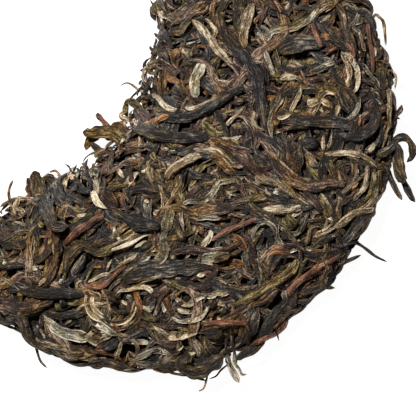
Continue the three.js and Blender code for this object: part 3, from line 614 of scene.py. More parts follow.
def smooth_path(points, count):
    """Evenly spaced points of a Catmull-Rom curve through a few points."""
    points = np.asarray(points, float)
    ends = np.concatenate([[2 * points[0] - points[1]], points, [2 * points[-1] - points[-2]]])
    t = np.linspace(0, 1, 12, endpoint=False)[:, None]
    spans = []
    for a, b, c, d in zip(ends, ends[1:], ends[2:], ends[3:]):
        cubic = 2 * b + (c - a) * t + (2 * a - 5 * b + 4 * c - d) * t**2 + (3 * b - a - 3 * c + d) * t**3
        spans.append(cubic / 2)
    curve = np.concatenate(spans + [points[-1:]])
    along = distance_along(curve)
    even = np.linspace(0, along[-1], count)
    return np.stack([np.interp(even, along, curve[:, k]) for k in range(curve.shape[1])], 1)


def blur(values, times):
    """Running average of three along the first axis, repeated, with the ends held."""
    for _ in range(times):
        padded = np.concatenate([values[:1], values, values[-1:]])
        values = (padded[:-2] + padded[1:-1] + padded[2:]) / 3
    return values


def swell(count, tip, peak):
    """Share of the full width along a leaf: narrow tips, widest at the peak's share of its length."""
    t = np.linspace(0, 1, count)
    bent = t ** (math.log(0.5) / math.log(peak))
    return tip + (1 - tip) * np.sin(np.pi * np.clip(bent, 0, 1)) ** 0.55


def waves(count, length, size, pieces=3):
    """A smooth random line: a few sine waves of about a given length in samples."""
    t = np.arange(count)
    line = np.zeros(count)
    for _ in range(pieces):
        line += np.sin(2 * np.pi * t / (length * rng.uniform(0.6, 1.6)) + rng.uniform(0, 2 * np.pi))
    return size * line / pieces


class Leaf:
    """One leaf: its path on the flattened skin or in space, its width and how it is made. Its ends dip,
    and one end may rise. Its centre line and the way its back faces are set when it has its place."""

    def __init__(self, tone, form, path, width, sides, least_tip=0.0):
        self.tone, self.form, self.path, self.width, self.sides = tone, form, path, width, sides
        self.unrest = TRACED_UNREST if least_tip else 1.0
        count = len(path)
        tip = max(least_tip, TIP_SHARE[form])
        self.half = 0.5 * width * swell(count, tip, rng.uniform(0.3, 0.7))
        self.half *= 1 + waves(count, 9, 0.17)
        self.thick = 2 * self.half * rng.uniform(*FLATNESS[form])
        self.height = np.zeros(count)
        self.dip, self.rise, self.press = 1.0, 0.0, PRESS
        self.tint = rng.beta(1.5, 2.1) + waves(count, 14, 0.22)


class Bed:
    """How high the leaves already lie over each cell of the flattened skin."""

    def __init__(self, reach, cell):
        self.reach, self.cell = reach, cell
        self.count = int(2 * reach / cell)
        self.top = np.zeros((self.count, self.count))

    def cells(self, flat):
        """The grid cells that hold points of the flattened skin."""
        index = ((flat + self.reach) / self.cell).astype(int)
        index = np.clip(index, 0, self.count - 1)
        return index[..., 0], index[..., 1]

    def lay(self, leaf):
        """Rests a leaf on what lies under it, and adds its own rounded back to the bed."""
        tangent = unit(np.gradient(leaf.path, axis=0), 1e-9)
        side = np.stack([-tangent[:, 1], tangent[:, 0]], 1)
        count = max(5, int(leaf.width / self.cell) + 2)
        across = np.linspace(-1, 1, count)
        feet = leaf.path[:, None, :] + side[:, None, :] * (across[None, :] * leaf.half[:, None])[..., None]
        i, j = self.cells(feet)
        under = self.top[i, j]
        share = 1.0 if leaf.form == "flat" else 0.8
        rest = share * under.max(1) + (1 - share) * under.mean(1)
        rest[1:-1] = np.maximum(rest[1:-1], (rest[:-2] + rest[2:]) / 2)
        rest = blur(rest, 3)
        leaf.height = rest + leaf.thick / 2
        back = rest[:, None] + leaf.thick[:, None] * np.sqrt(np.clip(1 - across**2, 0.05, 1))[None, :]
        np.maximum.at(self.top, (i, j), back)

    def level(self, size):
        """The covered cells' mean height over a distance, by a bell curve in the grid's frequencies."""
        frequency = np.fft.fftfreq(self.count, self.cell)
        bell = np.exp(-2 * (np.pi * size) ** 2 * (frequency[:, None] ** 2 + frequency[None, :] ** 2))
        parts = (self.top, self.top > 0)
        height, covered = (np.real(np.fft.ifft2(np.fft.fft2(part) * bell)) for part in parts)
        return height / np.maximum(covered, 0.05)


def rolled_section(leaf, angle, wind):
    """A flattened rod with sharp lengthwise creases, a power of the half sine of a few times the angle,
    and one step where its outer turn ends, all winding along it."""
    count = len(wind)
    folds = rng.integers(2, 5)
    crease = np.abs(np.sin((folds * angle + wind) / 2 + waves(count, 10, 0.5)[:, None])) ** 0.55
    turn = (angle + 0.6 * wind) / (2 * np.pi)
    part = turn - np.floor(turn)
    radius = 1.25 - rng.uniform(0.25, 0.45) * (1 - crease) - 0.3 * (1 - part)
    edge = np.clip((part - 0.84) / 0.16, 0, 1)
    half, thick = leaf.half[:, None], leaf.thick[:, None]
    return half * radius * np.cos(angle), thick * 0.55 * radius * np.sin(angle), edge, crease


def strip_section(leaf, angle, wind):
    """A thin strip: a flat ring bent by the square of its share across, with a fold down its middle,
    lengthwise veins, uneven edges, and a tilt that changes along it."""
    count = len(wind)
    ribbon = leaf.form == "ribbon"
    half = leaf.half[:, None]
    first_edge, second_edge = (waves(count, 5, 0.16 * leaf.unrest)[:, None] for _ in range(2))
    wobble = np.where(np.cos(angle) > 0, first_edge, second_edge)
    strip = np.cos(angle) * (1.08 + wobble)
    unrest = leaf.unrest
    if ribbon:
        curl = rng.uniform(0.2, 0.7) * (1 + waves(count, 12, 0.7 * unrest)[:, None])
    else:
        curl = 0.14 + waves(count, 9, 0.2 * unrest)[:, None]
    fold = rng.uniform(-0.35, 0.35) if ribbon else rng.uniform(-0.15, 0.15)
    veins = np.cos(rng.integers(3, 6) * np.pi * strip + 0.3 * wind)
    bent = curl * (strip**2 - 0.4) + fold * (np.abs(strip) - 0.5)
    up = (0.13 + 0.03 * half) * np.sin(angle) + half * bent
    up = up + 0.05 * half * veins
    tilt = (rng.uniform(-0.4, 0.4) + waves(count, 14, 0.7 * unrest)[:, None]) * (1 if ribbon else 0.2)
    across = half * strip
    edge = np.clip((np.abs(np.cos(angle)) - 0.78) / 0.22, 0, 1) + 0 * strip
    crease = 0.7 + 0.3 * veins
    tilted_across = across * np.cos(tilt) - up * np.sin(tilt)
    tilted_up = across * np.sin(tilt) + up * np.cos(tilt)
    return tilted_across, tilted_up, edge, crease


def stem_section(leaf, angle, wind):
    """A rod with a few ribs round it, made by sines of the angle."""
    ribs = 1 + 0.07 * np.sin(5 * angle + 0.3 * wind) + 0.05 * np.sin(3 * angle + 2)
    crease = 0.6 + 0.4 * np.sin(5 * angle + 0.3 * wind)
    half, thick = leaf.half[:, None], leaf.thick[:, None]
    return half * ribs * np.cos(angle), thick / 2 * ribs * np.sin(angle), 0 * ribs, crease


SECTIONS = {
    "rolled": rolled_section, "ribbon": strip_section, "flat": strip_section, "stem": stem_section,
}


def section(leaf, count):
    """Across and up offsets of a leaf's rings in mm, how near each corner is to a leaf edge, and how
    far it is out of a crease."""
    angle = np.linspace(0, 2 * np.pi, leaf.sides, endpoint=False)[None, :]
    turns = rng.choice([-1, 1]) * rng.uniform(0.3, 1.2) * path_length(leaf.path) / 18 * np.pi
    wind = rng.uniform(0, 2 * np.pi) + turns * np.linspace(0, 1, count) + waves(count, 12, 0.6)
    return SECTIONS[leaf.form](leaf, angle, wind[:, None])


def leaf_surface(leaf, centre, outward):
    """Rings of corners along a leaf, its pole points, their tints with painted shade in the creases and
    painted light on the ridges, their edge shares, and flat coordinates."""
    count = len(centre)
    tangent = unit(np.gradient(centre, axis=0), 1e-9)
    side = unit(np.cross(outward, tangent), 1e-9)
    up = np.cross(tangent, side)
    across, above, edge, crease = section(leaf, count)
    from_end = np.minimum(np.arange(count), np.arange(count)[::-1])
    close = np.clip(from_end / 1.5, 0.8 if leaf.form == "stem" else 0.25, 1)[:, None]
    across, above = across * close, above * close
    rings = centre[:, None, :] + side[:, None, :] * across[..., None] + up[:, None, :] * above[..., None]
    poles = np.stack([centre[0] - tangent[0] * 0.1, centre[-1] + tangent[-1] * 0.1])
    along = distance_along(centre)
    round_way = np.linspace(0, 1, leaf.sides, endpoint=False) * 2.5 * leaf.width
    flat = np.stack(np.broadcast_arrays(along[:, None], round_way[None, :]), -1) + rng.uniform(0, 500, 2)
    # painted shade and light: the tint is darkened in the creases and lightened on the ridges, more for
    # the darker tones
    tint = leaf.tint[:, None] + CREASE_PAINTED_SHADE[leaf.tone] * (crease - 0.75)
    return rings, poles, tint, np.broadcast_to(edge, rings.shape[:2]), flat


def tube_faces(count, sides):
    """Corner numbers of a closed tube's four-sided faces and its two fans of three-sided ones."""
    ring, corner = np.meshgrid(np.arange(count - 1), np.arange(sides), indexing="ij")
    here, beside = ring * sides + corner, ring * sides + (corner + 1) % sides
    walls = np.stack([here, beside, beside + sides, here + sides], -1).reshape(-1, 4)
    corners = np.arange(sides)
    following = (corners + 1) % sides
    first, last = count * sides, count * sides + 1
    end = (count - 1) * sides
    start_fan = np.stack([np.full(sides, first), following, corners], -1)
    end_fan = np.stack([np.full(sides, last), end + corners, end + following], -1)
    return walls, np.concatenate([start_fan, end_fan])


def placed(name, data):
    """An object of a mesh, a light or a camera, in the scene."""
    thing = bpy.data.objects.new(name, data)
    bpy.context.collection.objects.link(thing)
    return thing


SHARP_ANGLE = math.radians(55)


def build_piece(name, leaves, material):
    """One object of many leaves, with a flat coordinate, a tint with painted shade and an edge share
    for each corner.
    Nothing of it goes below the table."""
    points, walls, fans, tints, edges, flats = [], [], [], [], [], []
    start = 0
    for leaf in leaves:
        rings, poles, tint, edge, flat = leaf_surface(leaf, leaf.centre, leaf.outward)
        count, sides = rings.shape[:2]
        wall, fan = tube_faces(count, sides)
        points += [rings.reshape(-1, 3), poles]
        walls.append(wall + start)
        fans.append(fan + start)
        tints += [tint.ravel(), leaf.tint[[0, -1]]]
        edges += [edge.ravel(), np.zeros(2)]
        flats += [flat.reshape(-1, 2), flat[[0, -1], 0]]
        start += count * sides + 2
    points = np.concatenate(points)
    points[:, 2] = np.maximum(points[:, 2], 0.0)
    points = (points + CAKE_CENTRE) / 1000
    walls, fans = np.concatenate(walls), np.concatenate(fans)
    flats = np.concatenate(flats)
    corners = np.concatenate([walls.ravel(), fans.ravel()])
    starts = np.concatenate([np.arange(len(walls)) * 4, len(walls) * 4 + np.arange(len(fans)) * 3])
    mesh = bpy.data.meshes.new(name)
    mesh.vertices.add(len(points))
    mesh.vertices.foreach_set("co", points.ravel())
    mesh.loops.add(len(corners))
    mesh.loops.foreach_set("vertex_index", corners.astype(np.int32))
    mesh.polygons.add(len(starts))
    mesh.polygons.foreach_set("loop_start", starts.astype(np.int32))
    mesh.polygons.foreach_set("use_smooth", np.ones(len(starts), bool))
    mesh.uv_layers.new(name="fibre").data.foreach_set("uv", flats[corners].ravel() / 100)
    for label, values in (("tint", np.concatenate(tints)), ("edge", np.concatenate(edges))):
        mesh.attributes.new(label, "FLOAT", "POINT").data.foreach_set("value", values)
    mesh.update(calc_edges=True)
    mesh.validate()
    mesh.set_sharp_from_angle(angle=SHARP_ANGLE)
    piece = placed(name, mesh)
    mesh.materials.append(material)
    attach(piece, "root")
    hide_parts("tea_cake")


# Laying the leaves

# The bed's cells, how far it goes past the leaves, and the distance over which its mean height is
# taken
CELL = 0.5
BED_MARGIN = 6
LEVEL_BLUR = 7.0

# Pressing the bed down: the share of its heights that is kept, for leaves by rule and traced ones,
# a shift of all of it, a lift that grows within some distance of the break, the height above which
# the rest counts little, and how deep a leaf lies under others before it is dropped
PRESS = 0.85
TRACED_PRESS = 1.0
LIFT = -1.0
BREAK_LIFT = 1.6
BREAK_ZONE = 14
MOST_ABOVE = 1.2
MOST_BURIED = 0.9

# Leaves by rule: how near a traced leaf is for its tones and for its heading to be kept to, and how
# far out the leaves run round the rim, on the top and on the foot
NEAR_TRACED = 9
FOLLOWS_TRACED = 14
RIM_ZONE = 84
FOOT_RIM_ZONE = 76

# The shares of the tones in each mix, and the usual form of each tone's leaves. The mix of the deepest
# leaves holds only real dark tones, kept dark as painted shade for the gaps between the leaves above.
UNDER_MIX = {"charcoal": 0.4, "brown": 0.38, "olive": 0.12, "amber": 0.1}
QUIET_MIX = {"charcoal": 0.32, "brown": 0.31, "tan": 0.15, "olive": 0.13, "amber": 0.06, "stem": 0.03}
MIX = {
    "charcoal": 0.34, "brown": 0.28, "tan": 0.1, "silver": 0.09, "cream": 0.03, "olive": 0.1,
    "amber": 0.025, "stem": 0.025,
}
WISP_MIX = {"charcoal": 0.2, "brown": 0.3, "tan": 0.22, "silver": 0.15, "cream": 0.05, "olive": 0.08}
FORM_OF_TONE = {
    "charcoal": "rolled", "brown": "rolled", "tan": "rolled", "silver": "ribbon", "cream": "ribbon",
    "olive": "rolled", "amber": "rolled", "stem": "stem",
}

# The kinds of leaves laid by rule on the upper side, the deepest first: how many, their mixes near
# traced leaves and elsewhere, between which distances inside the broken edge their middles lie,
# their least, usual and most width in mm, their least and most length in widths, how far one end
# may stand up, and how far they may pass the broken edge
KINDS = {
    "under": {
        "count": 850, "mixes": (UNDER_MIX, UNDER_MIX), "inside": (0.3, math.inf),
        "widths": (2.4, 3.8, 6.5), "longness": (3, 6), "rise": 0.6, "beyond": 1.5,
    },
    "upper": {
        "count": 1500, "mixes": (QUIET_MIX, MIX), "inside": (0.5, math.inf),
        "widths": (0.8, 2.3, 4.8), "longness": (7, 15), "rise": 0.6, "beyond": 1.5,
    },
    "broken": {
        "count": 560, "mixes": (MIX, MIX), "inside": (-0.5, BREAK_ZONE),
        "widths": (0.8, 1.7, 3.8), "longness": (2, 6), "rise": 4.0, "beyond": 4.0,
    },
    "wisps": {
        "count": 260, "mixes": (WISP_MIX, WISP_MIX), "inside": (1, math.inf),
        "widths": (0.4, 0.7, 1.1), "longness": (9, 22), "rise": 0.6, "beyond": 1.5,
    },
}

# Leaves under the foot: how many, how far in from the rim their middles and their ends stay, the
# share of their thickness and of the bed's heights that the table leaves, and their usual, least
# and most height
FOOT_LEAVES = 620
FOOT_MIDDLE_MARGIN = 11
FOOT_MARGIN = 9
FOOT_THINNESS = 0.6
FOOT_PRESS = 0.6
FOOT_LEAF_HEIGHT = 0.55
FOOT_LEAF_LOWEST = 0.1
FOOT_LEAF_HIGHEST = 1.3

# How many corners go round a leaf that is nearly hidden
HIDDEN_SIDES = 8

# Traced leaves: how much wider a long one is made to stand out as in the picture, how much later
# than its width says a tone is laid, and the least and most of its tint
TRACED_WIDENING = 1.2
UPPERMOST = {"cream": 1.0, "silver": 0.6, "tan": 0.4, "stem": 1.0}
TRACED_TINT = {
    "charcoal": (0.15, 0.55), "brown": (0.2, 0.7), "tan": (0.7, 1.1), "silver": (0.6, 1.05),
    "cream": (0.75, 1.15), "olive": (0.55, 1.0), "amber": (0.6, 1.0), "stem": (0.6, 1.0),
}


def sides_for(width):
    """How many corners go round a leaf of a width in mm."""
    return int(np.clip(4.5 + 2.2 * width, 6, 18))


def traced_tint(tone, count):
    """The tint along a traced leaf: one within its tone's range, wavering a little."""
    return rng.uniform(*TRACED_TINT[tone]) + waves(count, 14, 0.2)


def traced_leaf(tone, form, width_in_picture, pixels):
    """A leaf that lies where the picture shows it."""
    ends = picture_to_skin(np.array(pixels, float))
    length = path_length(ends)
    path = smooth_path(ends, int(np.clip(length / 0.95, 9, 56)))
    width = width_in_picture * MM_PER_PIXEL
    slender = length > 5 * width
    if slender and width_in_picture < 11:
        width *= TRACED_WIDENING
    leaf = Leaf(tone, form, path, width, sides_for(width) + 2, 0.35 if slender else 0.15)
    leaf.tint = traced_tint(tone, len(path))
    leaf.dip, leaf.press = 0.5, TRACED_PRESS
    return leaf


def wandering_path(middle, heading, length, bend):
    """A line of a length about a middle point that turns evenly, wavers, and may have one kink."""
    count = int(np.clip(length / 1.5, 7, 26))
    t = np.linspace(-0.5, 0.5, count)
    turn = heading + bend * t + waves(count, count * 0.7, 0.6, 2)
    if rng.random() < 0.35:
        turn = turn + rng.normal(0, 0.8) * (t > rng.uniform(-0.3, 0.3))
    path = np.cumsum(np.stack([np.cos(turn), np.sin(turn)], 1), axis=0) * length / count
    return path - path.mean(0) + middle


def rule_leaf(tone, middle, width, length, heading, bend):
    """A leaf of a tone's usual form, sometimes a ribbon or a flat piece instead."""
    form = FORM_OF_TONE[tone]
    if form == "rolled" and rng.random() < 0.3:
        form = "ribbon"
    if form != "stem" and width > 2.4 and rng.random() < 0.35:
        form = "flat"
    return Leaf(tone, form, wandering_path(middle, heading, length, bend), width, sides_for(width))


def random_tone(mix):
    """A tone drawn by its share of a mix."""
    shares = np.array(list(mix.values()))
    return list(mix)[rng.choice(len(mix), p=shares / shares.sum())]


class Guide:
    """The run of the traced leaves, which the leaves between them follow."""

    def __init__(self, leaves):
        self.points = np.concatenate([leaf.path for leaf in leaves])
        runs = np.concatenate([np.gradient(leaf.path, axis=0) for leaf in leaves])
        self.headings = np.arctan2(runs[:, 1], runs[:, 0])

    def nearest(self, place):
        """How far the nearest traced leaf is from a place, and which way it runs there."""
        gaps = np.hypot(*(self.points - place).T)
        first = gaps.argmin()
        return gaps[first], self.headings[first]


def scattered(guide, count, mixes, inside, widths, longness, rise, beyond):
    """Leaves of one kind at random places of the flattened skin."""
    leaves = []
    while len(leaves) < count:
        middle = rng.uniform(-SKIN_REACH, SKIN_REACH, 2)
        distance = np.hypot(*middle)
        if distance > SKIN_REACH - 1:
            continue
        point, _ = skin_point(middle)
        if not inside[0] < inside_break(point[0], point[1]) < inside[1]:
            continue
        width = float(np.clip(rng.lognormal(math.log(widths[1]), 0.38), widths[0], widths[2]))
        length = float(np.clip(width * rng.uniform(*longness), 4, 40))
        gap, run = guide.nearest(middle)
        tone = random_tone(mixes[0] if gap < NEAR_TRACED else mixes[1])
        if tone in ("amber", "stem"):
            width, length = 0.7 * width, 0.5 * length
        if tone in ("tan", "silver", "cream"):
            width, length = 0.8 * width, 1.2 * length
        if gap < FOLLOWS_TRACED:
            heading = run + rng.normal(0, 0.4)
        elif distance > RIM_ZONE:
            heading = way_round(middle) + rng.normal(0, 0.4)
        else:
            heading = rng.uniform(0, 2 * np.pi)
        leaf = rule_leaf(tone, middle, width, length, heading, rng.uniform(-1.6, 1.6))
        ends, _ = skin_point(leaf.path)
        if inside_break(ends[:, 0], ends[:, 1]).min() < -beyond:
            continue
        if np.hypot(leaf.path[:, 0], leaf.path[:, 1]).max() > SKIN_REACH + 1:
            continue
        leaf.rise = rise * rng.random() ** 3
        leaves.append(leaf)
    return leaves


def settle(leaves, bed):
    """Presses the whole bed of leaves down on the cake's own shape, and darkens each leaf with painted
    shade where others lie over it.
    """
    level = bed.level(LEVEL_BLUR)
    for leaf in leaves:
        i, j = bed.cells(leaf.path)
        t = np.linspace(-1, 1, len(leaf.path))
        above = leaf.press * (leaf.height - level[i, j]) + LIFT
        above = above - leaf.dip * t**6 + leaf.rise * (t + 1) / 2
        above = np.minimum(above, MOST_ABOVE + 0.3 * (above - MOST_ABOVE))
        hidden = np.clip(bed.top[i, j] - leaf.height - leaf.thick / 2, 0, 2)
        leaf.buried = hidden.min() > MOST_BURIED
        # painted shade: a leaf is darkened by how deep it lies under the leaves over it
        leaf.tint = leaf.tint - 0.35 * hidden
        point, normal = skin_point(leaf.path)
        above += BREAK_LIFT * np.clip(1 - inside_break(point[:, 0], point[:, 1]) / BREAK_ZONE, 0, 1)
        leaf.outward = blur(normal, 3)
        leaf.centre = blur(point + normal * above[:, None], 1)


def upper_leaves():
    """All leaves of the top, the rim and the broken face, the deepest first."""
    bed = Bed(SKIN_REACH + BED_MARGIN, CELL)
    traced = []
    for tone, forms in PALETTE.items():
        for form, entries in forms.items():
            traced += [traced_leaf(tone, form, entry[0], entry[1:]) for entry in entries]
    traced.sort(key=lambda leaf: -leaf.width + UPPERMOST.get(leaf.tone, 0) + rng.normal(0, 0.3))
    guide = Guide(traced)
    by_kind = {name: scattered(guide, **kind) for name, kind in KINDS.items()}
    for leaf in by_kind["under"]:
        leaf.sides = HIDDEN_SIDES
    leaves = sum(by_kind.values(), []) + traced
    for leaf in leaves:
        bed.lay(leaf)
    settle(leaves, bed)
    return [leaf for leaf in leaves if not leaf.buried]


def foot_leaves():
    """Leaves under the cake, pressed flat by the table."""
    bed = Bed(CAKE_RADIUS + BED_MARGIN, CELL)
    leaves = []
    while len(leaves) < FOOT_LEAVES:
        middle = rng.uniform(-CAKE_RADIUS, CAKE_RADIUS, 2)
        if np.hypot(*middle) > CAKE_RADIUS - FOOT_MIDDLE_MARGIN or inside_break(*middle) < 2:
            continue
        width = float(np.clip(rng.lognormal(math.log(3.4), 0.35), 1.4, 7))
        length = width * rng.uniform(4, 9)
        heading = rng.uniform(0, 2 * np.pi)
        if np.hypot(*middle) > FOOT_RIM_ZONE:
            heading = way_round(middle) + rng.normal(0, 0.3)
        leaf = rule_leaf(random_tone(MIX), middle, width, min(length, 34), heading, rng.uniform(-1.2, 1.2))
        x, y = leaf.path.T
        if inside_break(x, y).min() < 0.5 or np.hypot(x, y).max() > CAKE_RADIUS - FOOT_MARGIN:
            continue
        leaf.thick *= FOOT_THINNESS
        leaf.sides = HIDDEN_SIDES
        leaves.append(leaf)
        bed.lay(leaf)
    level = bed.level(LEVEL_BLUR)
    for leaf in leaves:
        i, j = bed.cells(leaf.path)
        height = FOOT_LEAF_HEIGHT - FOOT_PRESS * (leaf.height - level[i, j])
        height = np.clip(height, FOOT_LEAF_LOWEST, FOOT_LEAF_HIGHEST)
        leaf.centre = np.column_stack([leaf.path, height])
        leaf.outward = np.tile([0.0, 0.0, -1.0], (len(height), 1))
    return leaves


# Loose ends: how wide one is in picture pixels to count as wide, how high a wide one and any other
# stands over the cake, how far its root goes into the body and down, and how blunt its tip is
WIDE_STRAY = 12
WIDE_STRAY_RISE = 4.2
STRAY_RISE = 0.8
STRAY_ROOT = 5.0
STRAY_ROOT_DROP = 1.0
STRAY_TIP = 0.5


def stray_leaves():
    """Loose ends past the rim and the broken side, each with a root inside the body."""
    leaves = []
    for tone, entries in STRAYS.items():
        for form, width_in_picture, *pixels in entries:
            rise = WIDE_STRAY_RISE if width_in_picture > WIDE_STRAY else STRAY_RISE
            points = picture_to_level(np.array(pixels, float), rise)
            inwards = np.array([*CORE_MIDDLE, points[0, 2]]) - points[0]
            root = points[0] + STRAY_ROOT * inwards / np.linalg.norm(inwards) - [0, 0, STRAY_ROOT_DROP]
            points = np.concatenate([[root], points])
            path = smooth_path(points, int(np.clip(path_length(points) / 0.7, 10, 64)))
            width = width_in_picture * MM_PER_PIXEL
            leaf = Leaf(tone, form, path, width, sides_for(width) + 2, STRAY_TIP)
            leaf.tint = traced_tint(tone, len(path))
            leaf.centre = path
            leaf.outward = np.tile([0.0, 0.0, 1.0], (len(path), 1))
            leaves.append(leaf)
    return leaves


# Materials

def linear(colour):
    """A colour from 0 to 255 on the screen as linear light."""
    share = np.array(colour) / 255
    return (*np.where(share <= 0.04045, share / 12.92, ((share + 0.055) / 1.055) ** 2.4), 1.0)


class Nodes:
    """Short ways to add nodes to a material."""

    def __init__(self, name):
        self.material = bpy.data.materials.new(name)
        self.material.use_nodes = True
        self.tree = self.material.node_tree
        self.shader = self.tree.nodes["Principled BSDF"]

    def add(self, kind, **settings):
        """A node of a kind with its settings."""
        node = self.tree.nodes.new(kind)
        for key, value in settings.items():
            setattr(node, key, value)
        return node

    def give(self, socket, value):
        """Gives a socket a fixed value, or another socket's."""
        if isinstance(value, bpy.types.NodeSocket):
            self.tree.links.new(value, socket)
        else:
            socket.default_value = value

    def surface(self, **values):
        """Sets the shader's inputs. Their names are written with low lines for spaces."""
        for name, value in values.items():
            self.give(self.shader.inputs[name.replace("_", " ")], value)

    def around(self, value, middle, strength):
        """How far a socket's value is from a middle, times a strength."""
        return self.math("MULTIPLY", self.math("SUBTRACT", value, middle), strength)

    def math(self, operation, first, second):
        """A maths node of two values, each a socket or a number."""
        node = self.add("ShaderNodeMath", operation=operation)
        self.give(node.inputs[0], first)
        self.give(node.inputs[1], second)
        return node.outputs[0]

    def noise(self, coordinates, scale, stretch=(1, 1, 1), detail=2.0):
        """A noise texture of some coordinates, stretched along each axis."""
        mapping = self.add("ShaderNodeMapping")
        self.give(mapping.inputs["Scale"], stretch)
        self.give(mapping.inputs["Vector"], coordinates)
        texture = self.add("ShaderNodeTexNoise")
        self.give(texture.inputs["Scale"], scale)
        self.give(texture.inputs["Detail"], detail)
        self.give(texture.inputs["Vector"], mapping.outputs[0])
        return texture.outputs["Fac"]

    def blend(self, share, first, second):
        """A mix of two colours by a share, each colour a socket or a fixed one."""
        node = self.add("ShaderNodeMix", data_type="RGBA")
        node.clamp_factor = True
        for number, value in ((0, share), (6, first), (7, second)):
            self.give(node.inputs[number], value)
        return node.outputs[2]


# Noise sizes in turns a metre, the fibres' stretch along and round a leaf, and the depth in metres
# of the bump that fibres and grain make
FIBRE_STRETCH = (26, 150, 1)
STAIN_SCALE = 160.0
GRAIN_SCALE = 1500.0
TURNING_SCALE = 70.0
LUMP_SCALE = 700.0
BUMP_DEPTH = 0.0009

# Of each tone: its dark, light, warm and pale colours, its roughness and how streaked it is
TONES = {
    "charcoal": ((20, 15, 11), (78, 74, 70), (99, 75, 38), (156, 140, 116), 0.55, 4.3),
    "brown": ((28, 18, 12), (102, 76, 64), (120, 83, 34), (172, 149, 120), 0.58, 4.3),
    "tan": ((44, 34, 22), (142, 121, 93), (134, 104, 62), (216, 198, 168), 0.62, 3.6),
    "silver": ((42, 37, 29), (138, 129, 110), (134, 116, 76), (224, 211, 187), 0.6, 3.1),
    "cream": ((86, 68, 45), (186, 168, 138), (176, 146, 98), (243, 231, 208), 0.62, 2.8),
    "olive": ((31, 24, 12), (104, 90, 46), (118, 86, 30), (172, 153, 110), 0.58, 4.1),
    "amber": ((42, 24, 12), (138, 88, 46), (146, 100, 38), (196, 155, 106), 0.55, 3.0),
    "stem": ((50, 32, 22), (140, 96, 76), (134, 80, 52), (190, 150, 122), 0.58, 2.8),
}


def leaf_material(tone):
    """Dried leaf: from its dark to its light colour by its own tint, with the painted shade of its
    creases and of the leaves over it and the painted light of its ridges, fine fibres along it, grain,
    wide stains and paler edges, and on to its pale colour where these add up to the most. The light
    colour turns warm in places."""
    deep, light, warm, pale, rough, streak = TONES[tone]
    nodes = Nodes(tone + "_leaf")
    fibre_map = nodes.add("ShaderNodeUVMap", uv_map="fibre").outputs[0]
    place = nodes.add("ShaderNodeTexCoord").outputs["Object"]
    tint = nodes.add("ShaderNodeAttribute", attribute_name="tint").outputs["Fac"]
    edge = nodes.add("ShaderNodeAttribute", attribute_name="edge").outputs["Fac"]
    fibres = nodes.noise(fibre_map, 1.0, FIBRE_STRETCH, 3.0)
    stains = nodes.noise(place, STAIN_SCALE)
    grain = nodes.noise(place, GRAIN_SCALE, (1, 1, 1), 3.0)
    share = nodes.around(fibres, 0.5, streak)
    for part in (
        nodes.around(grain, 0.5, 0.5 * streak), nodes.around(stains, 0.5, 1.6), tint,
        nodes.math("MULTIPLY", edge, 0.55),
    ):
        share = nodes.math("ADD", share, part)
    share = nodes.math("POWER", nodes.math("MAXIMUM", share, 0.0), 1.4)
    turning = nodes.around(nodes.noise(place, TURNING_SCALE), 0.45, 6.0)
    colour = nodes.blend(share, linear(deep), nodes.blend(turning, linear(light), linear(warm)))
    colour = nodes.blend(nodes.around(share, 0.9, 0.9), colour, linear(pale))
    bump = nodes.add("ShaderNodeBump")
    nodes.give(bump.inputs["Strength"], 1.0)
    nodes.give(bump.inputs["Distance"], BUMP_DEPTH)
    nodes.give(bump.inputs["Height"], nodes.math("ADD", fibres, grain))
    nodes.surface(Base_Color=colour, Roughness=rough, Specular_IOR_Level=0.3, Normal=bump.outputs[0])
    return nodes.material


def core_material():
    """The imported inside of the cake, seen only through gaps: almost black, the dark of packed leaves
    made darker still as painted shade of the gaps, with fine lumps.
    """
    nodes = Nodes("packed_inside_and_shade")
    place = nodes.add("ShaderNodeTexCoord").outputs["Object"]
    lumps = nodes.noise(place, LUMP_SCALE, (1, 1, 1), 4.0)
    # painted shade: the inside is held near black so that the gaps between the leaves read as deep shade
    colour = nodes.blend(lumps, linear((12, 9, 6)), linear((44, 34, 25)))
    nodes.surface(Base_Color=colour, Roughness=0.9)
    return nodes.material


# The core

def core_places(angles, distance):
    """Across and back of points at a distance from the core's middle in each direction."""
    return CORE_MIDDLE[0] + distance * np.cos(angles), CORE_MIDDLE[1] + distance * np.sin(angles)


def core_reach(angles):
    """How far the core goes from its middle in each direction before the rim or the broken face."""
    near, far = np.zeros_like(angles), np.full_like(angles, 2 * CAKE_RADIUS)
    for _ in range(30):
        half = (near + far) / 2
        x, y = core_places(angles, half)
        inside = (np.hypot(x, y) < CAKE_RADIUS - CORE_INSET) & (inside_break(x, y) > CORE_INSET)
        near, far = np.where(inside, half, near), np.where(inside, far, half)
    return near


def build_core():
    """A closed body under the leaves: rings out over the top and back under the foot."""
    angles = -np.linspace(0, 2 * np.pi, 200, endpoint=False)
    reach = core_reach(angles)
    rings = []
    for share in np.linspace(0.04, 1, 30):
        x, y = core_places(angles, share * reach)
        rings.append(np.stack([x, y, np.maximum(surface_height(x, y) - CORE_DEPTH, CORE_RIM_HEIGHT)], 1))
    for share in (0.97, 0.5, 0.04):
        x, y = core_places(angles, share * reach)
        rings.append(np.stack([x, y, np.full_like(x, CORE_FOOT_HEIGHT)], 1))
    rings = np.array(rings)
    poles = np.array([rings[0].mean(0), rings[-1].mean(0)])
    points = (np.concatenate([rings.reshape(-1, 3), poles]) + CAKE_CENTRE) / 1000
    walls, fans = tube_faces(len(rings), len(angles))
    mesh = bpy.data.meshes.new("packed_core")
    mesh.from_pydata(points.tolist(), [], walls.tolist() + fans.tolist())
    mesh.materials.append(core_material())
    core = placed("packed_core", mesh)
    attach(core, "root")
    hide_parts("tea_cake")


# The setting

# In metres and watts, the table top's half side and the key light's width, power and distance.
# The key comes from so far right, up and towards the eye in the picture.
KEY_FROM = (-0.5, 0.6, 0.75)
FLOOR_REACH = 3.0
KEY_SIZE = 0.35
KEY_POWER = 37.0
KEY_DISTANCE = 1.5
FLOOR_GLOW = 0.96
SURROUND_LIGHT = 0.06


